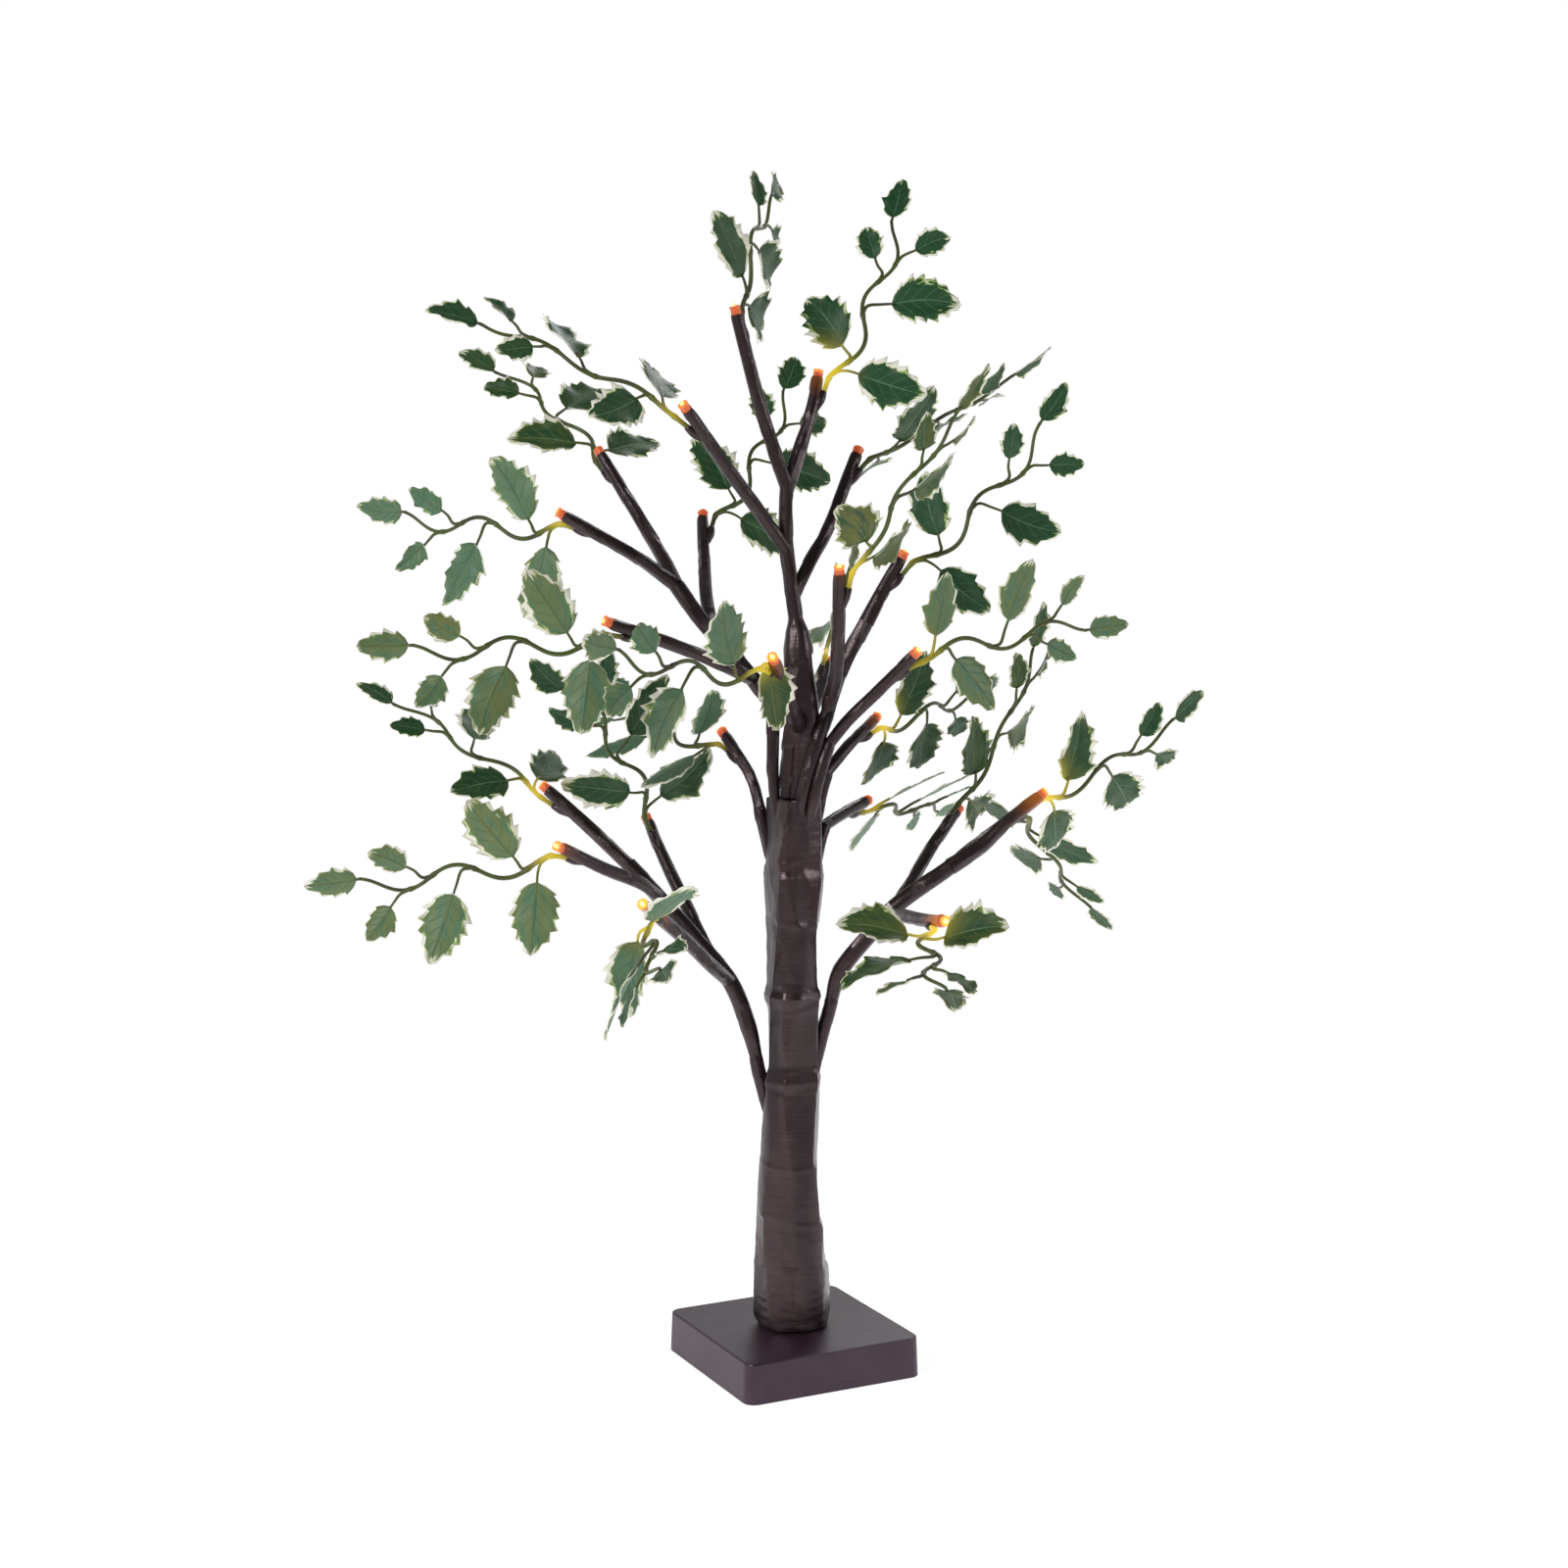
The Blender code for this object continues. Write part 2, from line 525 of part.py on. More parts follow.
def timer_board(finish):
    """The timer's circuit board, with its chip."""
    x, y = BOARD_PLACE
    length, width, thick = BOARD_SIZE
    bm = bmesh.new()
    top = BOARD_HEIGHT + thick
    add_box(bm, (x - length / 2, y - width / 2, BOARD_HEIGHT), (x + length / 2, y + width / 2, top))
    board = add_object("timer_board", mesh_from(bm, "timer_board"), finish, smooth=False)
    chip = bmesh.new()
    middle = x + CHIP_PLACE
    add_box(chip, (middle - CHIP_SIZE[0] / 2, y - CHIP_SIZE[1] / 2, BOARD_HEIGHT + thick / 2),
            (middle + CHIP_SIZE[0] / 2, y + CHIP_SIZE[1] / 2, top + CHIP_SIZE[2]))
    boolean(board, add_helper("board_chip", mesh_from(chip, "chip")), 'UNION')


def switch_slider(finish):
    """The three-way slide switch's knob, with the flange that holds it behind the plate."""
    x, y = SWITCH_PLACE
    length, width = SWITCH_KNOB
    bm = bmesh.new()
    add_box(bm, (x - length / 2, y - width / 2, GAP), (x + length / 2, y + width / 2, PLATE_THICK + MM))
    knob = add_object("switch_slider", mesh_from(bm, "switch_slider"), finish, smooth=False)
    reach = length / 2 + SWITCH_TRAVEL + SWITCH_FLANGE
    flange = bmesh.new()
    add_box(flange, (x - reach, y - width / 2 - SWITCH_FLANGE, PLATE_THICK + GAP),
            (x + reach, y + width / 2 + SWITCH_FLANGE, PLATE_THICK + GAP + MM))
    boolean(knob, add_helper("knob_flange", mesh_from(flange, "flange")), 'UNION')


def plate_screws(finish):
    """Four countersunk screws that hold the plate to the shell's bosses."""
    head_depth = SCREW_HEAD - SCREW_RADIUS
    for index, (x, y) in enumerate(screw_places()):
        stations = ((GAP, SCREW_HEAD), (GAP + head_depth, SCREW_RADIUS), (SCREW_LENGTH, SCREW_RADIUS))
        add_object(f"plate_screw_{index + 1}",
                   tubes("screw", [[((x, y, z), radius) for z, radius in stations]], 2), finish)


# ---------------------------------------------------------------- trunk
def trunk_tube(finish):
    """The stiff tube inside the trunk, pushed over the shell's spigot."""
    bore = SPIGOT_RADIUS + GAP
    bm = bmesh.new()
    add_cylinder(bm, (0, 0), bore + TUBE_WALL, BASE_HEIGHT + GAP, TUBE_TOP)
    tube = add_object("trunk_tube", mesh_from(bm, "trunk_tube"), finish)
    hollow = bmesh.new()
    add_cylinder(hollow, (0, 0), bore, BASE_HEIGHT, TUBE_TOP + MM)
    boolean(tube, add_helper("tube_bore", mesh_from(hollow, "bore")), 'DIFFERENCE')


def trunk_wrap(finish):
    """The rolled paper and film around the tube, a little uneven as film is."""
    heights = [(BASE_HEIGHT + height * MM, radius) for height, radius in FOOT_PROFILE]
    heights += [(TRUNK_TOP + height * MM, radius) for height, radius in HEAD_PROFILE]
    route = [((0, 0, height), radius * MM) for height, radius in heights]
    wrap = add_object("trunk_wrap", tubes("trunk_wrap", [route], TRUNK_SIDES // 2 - 2), finish)
    hollow = bmesh.new()
    add_cylinder(hollow, (0, 0), SPIGOT_RADIUS + TUBE_WALL + 2 * GAP, BASE_HEIGHT, TRUNK_TOP + MM)
    boolean(wrap, add_helper("wrap_bore", mesh_from(hollow, "bore")), 'DIFFERENCE')


def lead_bundle(finish):
    """The lamp leads from the board to the boughs, up through the spigot and the tube."""
    low = BOARD_HEIGHT + BOARD_SIZE[2] + GAP + LEAD_RADIUS
    edge = BOARD_PLACE[1] - BOARD_SIZE[1] / 2 + 2 * MM
    points = ((-2 * MM, edge, low), (-2 * MM, edge - 3 * MM, low + MM),
              (0, LEAD_PLACE + 3 * MM, low + 2 * MM), (0, LEAD_PLACE, low + 5 * MM),
              (0, LEAD_PLACE, SPIGOT_TOP), (0, 0, SPIGOT_TOP + 30 * MM),
              (0, 0, TUBE_TOP), (0, 0, TRUNK_TOP - MM))
    add_object("lead_bundle", tubes("lead_bundle", [[(point, LEAD_RADIUS) for point in points]], 1), finish)


# ---------------------------------------------------------------- crown
def limb_radii(bough, name, foot_radius, count):
    """The film's radius at each point of a limb, in metres."""
    if bough == "leader" and name == "stem":
        return [radius * MM for radius in LEADER_RADII]
    tip = BOUGH_RADIUS * 0.9 if name == "stem" else TWIG_TIP
    first = foot_radius * MM
    if name == "stem":
        return [first] + [BOUGH_RADIUS + (tip - BOUGH_RADIUS) * step / count for step in range(1, count)]
    return [first + (tip - first) * step / (count - 1) for step in range(count)]


def extended(points, by):
    """A route carried straight on past its last point."""
    return points[:-1] + [points[-1] + unit(points[-1] - points[-2]) * by]


def add_bough(bough, film, wire_finish):
    """A bough's film wrap and the lamp string inside it."""
    outers, bores, wires, heads = [], [], [], []
    for name, foot_radius, rows in BOUGHS[bough]:
        points = [crown_point(*row) for row in rows]
        radii = limb_radii(bough, name, foot_radius, len(points))
        outers.append(list(zip(points, radii)))
        is_twig = name != "stem"
        first = points[0] - unit(points[1] - points[0]) * MM
        bores.append([(point, BORE_RADIUS) for point in [first] + extended(points, 2 * MM)[1:]])
        wire = extended(points, 2 * MM) if is_twig else points
        wires.append([(point, WIRE_RADIUS) for point in wire])
        if is_twig:
            axis = unit(points[-1] - points[-2])
            seat = points[-1] + axis * LAMP_STEP
            heads.append([(seat + axis * LAMP_LENGTH * along, LAMP_RADIUS * share)
                          for along, share in LAMP_PROFILE])
    wrap = add_object("bough_" + bough, tubes(bough, outers[:1], 1), film, height=TRUNK_TOP)
    if outers[1:]:
        boolean(wrap, add_helper(bough + "_limbs", tubes(bough, outers[1:], 1), TRUNK_TOP), 'UNION')
    bore = boolean(wrap, add_helper(bough + "_bores", tubes(bough, bores, 0), TRUNK_TOP), 'DIFFERENCE')
    bore.use_self = True
    string = add_object("lamps_" + bough, tubes(bough, wires[:1], 0), wire_finish, height=TRUNK_TOP)
    boolean(string, add_helper(bough + "_lamps", tubes(bough, heads, 1), TRUNK_TOP), 'UNION')
    if wires[1:]:
        boolean(string, add_helper(bough + "_wires", tubes(bough, wires[1:], 0), TRUNK_TOP), 'UNION')


def leaf_plate(bm, row):
    """A flat leaf with its stalk: a strip that widens into a pointed oval."""
    foot, along, across, face, stalk, swing, (length, width) = row
    leaf_along = along * cos(swing) + across * sin(swing)
    leaf_across = across * cos(swing) - along * sin(swing)
    base = foot + along * stalk
    half = STALK_WIDTH / 2
    outline = [foot - across * half, foot + across * half, base + leaf_across * half]
    for x, y in LEAF_OUTLINE:
        outline.append(base + leaf_along * length * x + leaf_across * width / 2 * y)
    outline.append(base - leaf_across * half)
    verts = [bm.verts.new(point - face * LEAF_THICK / 2) for point in outline]
    raised = bmesh.ops.extrude_face_region(bm, geom=[bm.faces.new(verts)], use_keep_orig=True)["geom"]
    moved = [item for item in raised if isinstance(item, bmesh.types.BMVert)]
    bmesh.ops.translate(bm, vec=Vector(face * LEAF_THICK), verts=moved)


def add_spray(lamp, finish):
    """One leaf spray: a wavy stem bound to its twig, with stalks and leaves, as one moulding."""
    points, _ = spray_stem(lamp, 10)
    foot, axis = spray_binding(lamp)
    route = [foot, points[0] - axis * MM] + points[1:]
    stem = tubes("stem", [[(point, STEM_RADIUS) for point in route]], 0)
    spray = add_object(f"leaf_spray_{lamp:02d}", stem, finish, height=TRUNK_TOP)
    plates = bmesh.new()
    for row in spray_leaves(lamp):
        leaf_plate(plates, row)
    bmesh.ops.recalc_face_normals(plates, faces=plates.faces)
    boolean(spray, add_helper(f"spray_leaves_{lamp:02d}", mesh_from(plates, "leaves"), TRUNK_TOP), 'UNION')


# ---------------------------------------------------------------- assembly
def main():
    """Build the tree."""
    for leftover in list(bpy.data.objects):
        bpy.data.objects.remove(leftover)
    plastic = material("base_plastic", (0.055, 0.036, 0.038), 0.5)
    film = material("bark_film", (0.035, 0.024, 0.022), 0.4)
    card = material("tube_card", (0.4, 0.3, 0.2), 0.8)
    leaf = material("leaf", (0.05, 0.2, 0.07), 0.5)
    lamp = material("lamp", (0.9, 0.35, 0.08), 0.3, glow=1.0)
    steel = material("steel", (0.6, 0.6, 0.6), 0.3, 1.0)
    label = material("cell_jacket", (0.1, 0.12, 0.2), 0.4)
    green_board = material("board", (0.02, 0.15, 0.06), 0.5)
    cable = material("lead", (0.03, 0.03, 0.03), 0.5)
    base_shell(plastic)
    base_plate(plastic)
    battery_door(plastic)
    battery_cells(label)
    contacts(steel)
    timer_board(green_board)
    switch_slider(cable)
    plate_screws(steel)
    trunk_tube(card)
    trunk_wrap(film)
    lead_bundle(cable)
    for bough in BOUGHS:
        add_bough(bough, film, lamp)
    for spray in SPRAYS:
        add_spray(spray, leaf)


main()
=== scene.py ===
"""Looks of the artificial tabletop tree: film, leaves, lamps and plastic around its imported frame.

Laid out as a Blender add-on and run as a script.  Metres, +Z up; lengths in the tables are in mm.
"""
import random
from math import atan2, cos, floor, pi, radians, sin, tau

import bmesh
import bpy
import numpy as np
from bpy.props import FloatProperty, FloatVectorProperty, IntProperty, PointerProperty
from mathutils import Matrix, Vector, noise


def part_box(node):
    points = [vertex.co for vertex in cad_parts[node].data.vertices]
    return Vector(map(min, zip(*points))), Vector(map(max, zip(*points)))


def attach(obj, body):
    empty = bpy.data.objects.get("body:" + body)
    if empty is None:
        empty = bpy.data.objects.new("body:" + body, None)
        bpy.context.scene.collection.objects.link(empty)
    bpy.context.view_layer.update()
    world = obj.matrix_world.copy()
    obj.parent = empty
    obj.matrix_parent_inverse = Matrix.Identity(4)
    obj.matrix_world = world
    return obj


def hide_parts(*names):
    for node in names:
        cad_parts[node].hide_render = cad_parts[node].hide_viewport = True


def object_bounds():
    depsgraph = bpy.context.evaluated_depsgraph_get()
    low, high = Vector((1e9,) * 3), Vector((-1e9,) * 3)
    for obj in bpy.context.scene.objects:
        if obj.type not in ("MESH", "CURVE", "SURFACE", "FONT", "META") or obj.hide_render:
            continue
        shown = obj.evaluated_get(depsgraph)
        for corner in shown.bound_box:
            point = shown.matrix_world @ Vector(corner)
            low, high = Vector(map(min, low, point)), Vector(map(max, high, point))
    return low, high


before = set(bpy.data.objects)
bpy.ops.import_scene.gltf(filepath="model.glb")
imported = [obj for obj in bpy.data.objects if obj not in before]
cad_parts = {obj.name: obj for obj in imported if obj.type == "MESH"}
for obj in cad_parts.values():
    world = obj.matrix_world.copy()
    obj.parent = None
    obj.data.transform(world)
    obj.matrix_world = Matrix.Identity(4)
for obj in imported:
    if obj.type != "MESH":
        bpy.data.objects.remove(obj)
CAD_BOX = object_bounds()

bl_info = {
    "name": "Artificial Tabletop Tree",
    "version": (1, 0, 0),
    "blender": (4, 5, 0),
    "location": "3D View > Sidebar > Tree",
    "description": "Dresses the tree's frame with bark film, leaf sprays, lit lamps and moulded plastic",
    "category": "Object",
}

MM = 0.001
FILM_LOW, FILM_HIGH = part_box("trunk_wrap")
TRUNK_FOOT, TRUNK_TOP = FILM_LOW.z, FILM_HIGH.z

CROWN_TURN = radians(-26.6)       # the crown spreads in a plane turned about Z from the base's front
ACROSS = np.array((cos(CROWN_TURN), sin(CROWN_TURN), 0.0))
BACK = np.array((-sin(CROWN_TURN), cos(CROWN_TURN), 0.0))
UP = np.array((0.0, 0.0, 1.0))

# ---------------------------------------------------------------- layout of the crown
# Each bough is a list of limbs.  A limb is its name, the film's radius at its foot, and its points from foot
# to tip as (across, back, up) in mm, where up is the height above the trunk's top.  A limb named with a
# number ends in the lamp of that number.
BOUGHS = {
    "leader": (
        ("stem", 10.6, ((3, 0, 0.4), (4, 0, 31), (4, 0, 49), (3, 0, 59), (2, 0, 84), (-3, 0, 122),
                        (-3, 0, 155))),
        (1, 3.6, ((-3, 0, 153), (-11, -2, 175), (-17, -5, 195), (-27, -10, 234))),
        (2, 3.6, ((-3, 0, 151), (3, 7, 169), (9, 13, 189), (12, 20, 205))),
        (3, 3.4, ((-3, 0, 121), (-11, -6, 133), (-32, -21, 162), (-50, -34, 188))),
        (8, 3.4, ((0, 0, 99), (8, 9, 115), (18, 22, 133), (32, 42, 168))),
        (11, 4.0, ((4, 0, 33), (-2, -22, 50), (-9, -50, 71))),
        (12, 4.0, ((4, 0, 27), (11, 26, 45), (19, 52, 62))),
    ),
    "upper_left": (
        ("stem", 3.2, ((-10, 0, 46), (-16, 0, 54), (-28, 0, 69), (-44, 5, 86), (-57, 8, 104))),
        (4, 3.5, ((-57, 8, 104), (-66, 24, 120), (-76, 38, 135), (-90, 53, 157), (-97, 59, 168))),
        (5, 3.5, ((-57, 8, 104), (-68, 9, 112), (-82, 10, 121), (-112, 11, 138))),
        (6, 3.3, ((-39, 4, 81), (-43, 28, 97), (-45, 56, 118), (-46, 73, 136))),
        (7, 3.4, ((-19, 0, 58), (-30, -16, 65), (-54, -28, 76), (-86, -39, 88))),
    ),
    "upper_right": (
        ("stem", 3.2, ((17, -2, 41), (19, -2, 51), (26, 3, 68), (36, 5, 86))),
        (9, 3.6, ((19, -3, 52), (21, -12, 65), (22, -22, 89), (22, -29, 111))),
        (10, 3.8, ((36, 5, 86), (44, 7, 101), (53, 10, 117))),
    ),
    "right_high": ((13, 2.8, ((17, -5, 26), (27, -7, 39), (43, -10, 55), (58, -15, 71))),),
    "right_middle": ((14, 2.8, ((16, 7, 11), (29, 20, 25), (41, 38, 35))),),
    "right_low": ((16, 2.8, ((15, 12, -16), (24, 26, -12), (37, 48, -8))),),
    "left_middle": ((15, 2.8, ((-16, 6, -7), (-21, 12, 9), (-34, 28, 28))),),
    "lower_left": (
        ("stem", 3.0, ((-18, 0, -131), (-22, 0, -115), (-31, 0, -92), (-50, 4, -69), (-66, 8, -51),
                       (-82, 13, -35))),
        (17, 3.5, ((-82, 13, -35), (-101, 19, -18), (-123, 25, 1))),
        (18, 3.3, ((-66, 8, -51), (-75, -8, -41), (-92, -26, -31), (-110, -43, -19))),
        (19, 3.4, ((-31, 0, -92), (-42, 11, -79), (-52, 24, -61), (-67, 44, -34), (-74, 53, -19))),
        (20, 3.4, ((-31, 0, -92), (-41, -24, -78), (-54, -56, -58), (-68, -85, -40))),
    ),
    "lower_right": (
        ("stem", 3.0, ((19, 0, -102), (24, 0, -86), (40, 0, -66), (52, 0, -53), (78, 4, -35))),
        (21, 3.4, ((52, 0, -53), (61, 18, -42), (71, 36, -29), (84, 53, -14))),
        (22, 4.2, ((78, 4, -35), (94, 8, -25), (106, 11, -14), (123, 15, -1))),
        (23, 3.4, ((48, -1, -57), (55, -24, -55), (62, -46, -53), (70, -72, -49))),
        (24, 3.4, ((78, 4, -35), (92, 24, -27), (108, 49, -20), (123, 71, -12))),
    ),
}
# Where each bough's film comes out of the trunk: points and radii up to the bough's foot, as above, in mm.
COLLARS = {
    "upper_left": (((-7.5, -3, -12), (-9.8, -3.5, 12), (-10, -1, 38)), (2.4, 2.9, 3.5)),
    "upper_right": (((3, -6, -12), (5, -9, 6), (11, -7, 26)), (3.0, 3.5, 3.8)),
    "right_high": (((7, -5, -14), (10, -8, 0), (14, -8, 16)), (2.2, 3.2, 3.4)),
    "right_middle": (((7, 6, -26), (11.5, 7, -12), (14, 7, 2)), (1.8, 3.0, 3.3)),
    "right_low": (((7, 6, -56), (11, 8.5, -36), (13.5, 11, -23)), (1.6, 3.0, 3.2)),
    "left_middle": (((-8, 3, -44), (-12, 4.5, -26), (-15, 5.5, -13)), (1.6, 3.0, 3.2)),
    "lower_left": (((-9, 0, -176), (-13.5, 0, -152), (-17, 0, -137)), (1.6, 3.2, 3.5)),
    "lower_right": (((9, 0, -150), (13.5, 0, -124), (17.5, 0, -108)), (1.6, 3.2, 3.5)),
}
BOUGH_RADIUS = 4.2 * MM           # the film's radius along a bough's stem
# The leader's film: distance along it and radius, in mm.
LEADER_PROFILE = ((0, 10.6), (24, 9.7), (49, 8.3), (60, 7.8), (74, 7.2), (82, 5.6), (88, 3.6), (122, 3.5),
                  (155, 3.4))
TWIG_TIP = 3.0 * MM               # the film's radius at a twig's tip
FILM_PROUD = 0.15 * MM            # the most that a limb's film stands out, so that bent boughs stay clear

# Leaf sprays, one beside each lamp: (turn, lean, roll, bend, size).  turn is the heading in the crown's
# plane, 0 to the right and 90 up; lean tips it back (+) or forward (-); roll turns the flat spray about its
# heading; bend curves the stem in its own plane; all in degrees.  A negative size mirrors the spray.
SPRAYS = {
    1: (78, 45, 65, -50, 1.0),
    2: (68, 20, -10, 10, 1.0),
    3: (155, -15, 60, 10, 1.1),
    4: (140, 35, 50, 15, 1.0),
    5: (176, 25, -5, 0, -1.0),
    6: (62, 35, 10, 5, 1.0),
    7: (182, -15, 5, 5, -1.0),
    8: (30, 20, 75, 0, 1.0),
    9: (58, -15, 60, -30, 1.0),
    10: (47, 5, 0, 10, 1.03),
    11: (168, -45, 0, -5, -1.0),
    12: (72, 50, 90, 10, 1.0),
    13: (9, 22, 10, 5, -1.0),
    14: (14, 52, 35, -15, 1.0),
    15: (160, 53, 40, -15, -1.0),
    16: (-14, 62, 40, 10, -1.0),
    17: (150, 15, 60, -10, 1.0),
    18: (186, -5, 0, 5, -1.0),
    19: (118, -30, 10, 15, 1.0),
    20: (320, -84, 0, 0, 1.0),
    21: (64, 5, 60, 35, 1.0),
    22: (27, 28, 35, 0, 1.0),
    23: (270, -84, 0, 0, 1.0),
    24: (-55, 40, 60, 10, 1.0),
}
# How yellow a spray's leaves look in its own lamp's light, where that isn't 0.1.
SPRAY_WARMTH = {2: 0.0, 4: 0.3, 5: 0.35, 7: 0.8, 9: 0.8, 10: 0.0, 11: 0.5, 12: 0.8, 13: 0.5, 18: 0.6,
                21: 0.4, 23: 0.4}
SPRAY_DROP = 3 * MM               # a spray leaves its twig this far below the film's end
SPRAY_BIND = 9 * MM               # and runs beside the twig over this length
STEM_RADIUS = 1.15 * MM
STEM_LENGTH = 102 * MM
STEM_WAVE = 4.6 * MM              # height of the stem's wave
STEM_WAVELENGTH = 52 * MM
STEM_FIRST_CREST = 28 * MM        # from the root, on the first leaf's side

# A spray's six leaves: station along the stem, side, stalk length, angle from the stem, roll, size.
LEAF_LARGE = (36 * MM, 23 * MM)   # length, width
LEAF_SMALL = (20 * MM, 13.5 * MM)
LEAF_END = (25 * MM, 14 * MM)
LEAVES = (
    (0.03, -1, 14 * MM, 82, 12, LEAF_LARGE),
    (0.15, 1, 9 * MM, 58, -14, LEAF_LARGE),
    (0.44, -1, 15 * MM, 66, 10, LEAF_LARGE),
    (0.64, 1, 13 * MM, 35, -18, LEAF_SMALL),
    (0.77, -1, 13 * MM, 48, 16, LEAF_SMALL),
    (1.00, 1, 2 * MM, 5, -8, LEAF_END),
)
# Sprays whose leaves are flatter and smaller, so that they clear their neighbours when a bough bends.
CALM_SPRAYS = (10, 13, 15, 16, 17, 24)
CALM_LIFE = 0.35                  # how much of a leaf's fold, arch, twist and ripple they keep
CALM_LENGTH, CALM_WIDTH = 0.92, 0.86
# Leaves that hang otherwise, by lamp and place: degrees more of roll, of angle from the stem and of turn
# about the spray's heading, and the share of the stalk's length.
LEAF_POSES = {(20, 0): (62, 0, 0, 1.0), (20, 1): (-35, 0, 24, 1.3), (23, 0): (-48, 0, 0, 1.0),
              (23, 1): (48, 0, 16, 1.3), (11, 0): (165, 215, 0, 0.3)}
STALK_REACH = 0.7                 # a stalk's angle from the stem, as a share of its leaf's

LAMP_RADIUS = 2.7 * MM
LAMP_LENGTH = 6.5 * MM
# How bright each lamp is from the front, as a share of the brightest.
LAMP_GLOW = {1: 0.15, 2: 0.8, 3: 0.5, 4: 0.15, 5: 0.6, 6: 0.15, 7: 0.4, 8: 0.15, 9: 0.7, 10: 0.4, 11: 0.8,
             12: 0.6, 13: 0.6, 14: 0.8, 15: 0.5, 16: 0.5, 17: 0.6, 18: 0.75, 19: 0.15, 20: 1.0, 21: 0.15,
             22: 0.9, 23: 1.0, 24: 0.5}

# The trunk's film, in mm: height above the foot and radius, then height from the top and radius.
FOOT_PROFILE = ((0, 16.6), (0.6, 17.6), (2, 18.0), (6, 18.1), (26, 17.7), (62, 16.2))
HEAD_PROFILE = ((-147, 13.6), (-141, 14.3), (-135, 12.6), (-107, 12.8), (-98, 14.2), (-94, 12.6),
                (-62, 13.2), (-39, 14.3), (-32, 13.2), (0, 12.5))
# Folds across it: height from the top, tilt, depth and half-width, in mm.
FOLDS = ((-236, 2, 0.35, 1.9), (-210, -3, 0.4, 1.9), (-181, 3, 0.3, 1.9), (-143, -2, -0.3, 2.6),
         (-137, 2, 0.5, 2.4), (-101, 3, -0.5, 2.6), (-96, -3, 0.55, 2.2), (-62, 2, 0.35, 1.9),
         (-38, 4, -0.5, 2.4), (-32, 3, 0.4, 2.2))
TRUNK_SIDES = 84
SHARP_EDGE = 28                   # degrees over which the film creases

# The stage: lamps of the studio as (across, back, up, size) in metres and power in watts.
STUDIO_LAMPS = {"key": (-1.25, -1.4, 1.3, 0.6, 24), "side": (1.8, -0.5, 0.8, 0.4, 8),
                "rim": (0.4, 1.6, 1.4, 0.8, 8)}
FLOOR_RADIUS = 0.8
CAMERA_ACROSS = -0.0043           # the camera stands this far to the side of the trunk


# ---------------------------------------------------------------- crown geometry
def unit(vector):
    """A vector's direction."""
    return vector / np.linalg.norm(vector)


def crown_point(across, back, up):
    """A point of the crown, given in mm from the trunk's top, in metres."""
    return (across * ACROSS + back * BACK + up * UP) * MM + TRUNK_TOP * UP


def turned(vector, axis, angle):
    """A vector turned about a unit axis."""
    return (vector * cos(angle) + np.cross(axis, vector) * sin(angle)
            + axis * np.dot(axis, vector) * (1 - cos(angle)))


def body_of(bough):
    """The body that a bough belongs to: the leader stands on the trunk."""
    return "stand" if bough == "leader" else bough


def lamps_of(limbs):
    """The lamps at the ends of a bough's limbs."""
    return [name for name, _, _ in limbs if name != "stem"]


def twig_route(lamp):
    """The points of the limb that ends in a lamp."""
    for limbs in BOUGHS.values():
        for name, _, points in limbs:
            if name == lamp:
                return [crown_point(*point) for point in points]
    raise ValueError(f"no limb ends in lamp {lamp}")


def spray_frame(lamp):
    """A spray's root on its twig, and its heading, side and face directions."""
    turn, lean, roll, _, _ = SPRAYS[lamp]
    heading = turned(ACROSS, -BACK, radians(turn))
    side = turned(UP, -BACK, radians(turn))
    heading, face = (heading * cos(radians(lean)) + BACK * sin(radians(lean)),
                     BACK * -cos(radians(lean)) + heading * sin(radians(lean)))
    side = turned(side, heading, radians(roll))
    face = turned(face, heading, radians(roll))
    foot, tip = twig_route(lamp)[-2:]
    axis = unit(tip - foot)
    out = unit(heading - axis * np.dot(heading, axis))
    root = tip - axis * SPRAY_DROP + out * (LAMP_RADIUS + STEM_RADIUS * 1.5 + 0.3 * MM)
    return root, heading, side, face


def spray_stem(lamp, steps):
    """Points and headings along a spray's stem: a wave on a gentle bend."""
    _, _, _, bend, size = SPRAYS[lamp]
    root, heading, side, _ = spray_frame(lamp)
    hand = 1 if size > 0 else -1
    length = STEM_LENGTH * abs(size)
    points, headings = [root], []
    for step in range(steps):
        share = (step + 0.5) / steps
        turn = tau * (share * length - STEM_FIRST_CREST) / STEM_WAVELENGTH
        angle = radians(bend) * (share - 0.5) + hand * STEM_WAVE * tau / STEM_WAVELENGTH * sin(turn)
        headings.append(heading * cos(angle) + side * sin(angle))
        points.append(points[-1] + headings[-1] * length / steps)
    headings.append(headings[-1])
    return points, headings


def stem_start(lamp, steps):
    """A spray's stem, its twig's direction, and the way from the stem's root in to the twig."""
    points, _ = spray_stem(lamp, steps)
    foot, tip = twig_route(lamp)[-2:]
    axis = unit(tip - foot)
    return points, axis, unit(tip - axis * SPRAY_DROP - points[0])


def limb_radii(name, foot_radius, count):
    """The film's radius at each point of a limb, in metres."""
    first = foot_radius * MM
    if name == "stem":
        tip = BOUGH_RADIUS * 0.9
        return [first] + [BOUGH_RADIUS + (tip - BOUGH_RADIUS) * step / count for step in range(1, count)]
    return [first + (TWIG_TIP - first) * step / (count - 1) for step in range(count)]


def lamp_seats():
    """Each lamp's seat at its twig's tip, and the way it points."""
    seats = {}
    for limbs in BOUGHS.values():
        for name, _, rows in limbs:
            if name != "stem":
                foot, tip = crown_point(*rows[-2]), crown_point(*rows[-1])
                seats[name] = (tip, unit(tip - foot))
    return seats


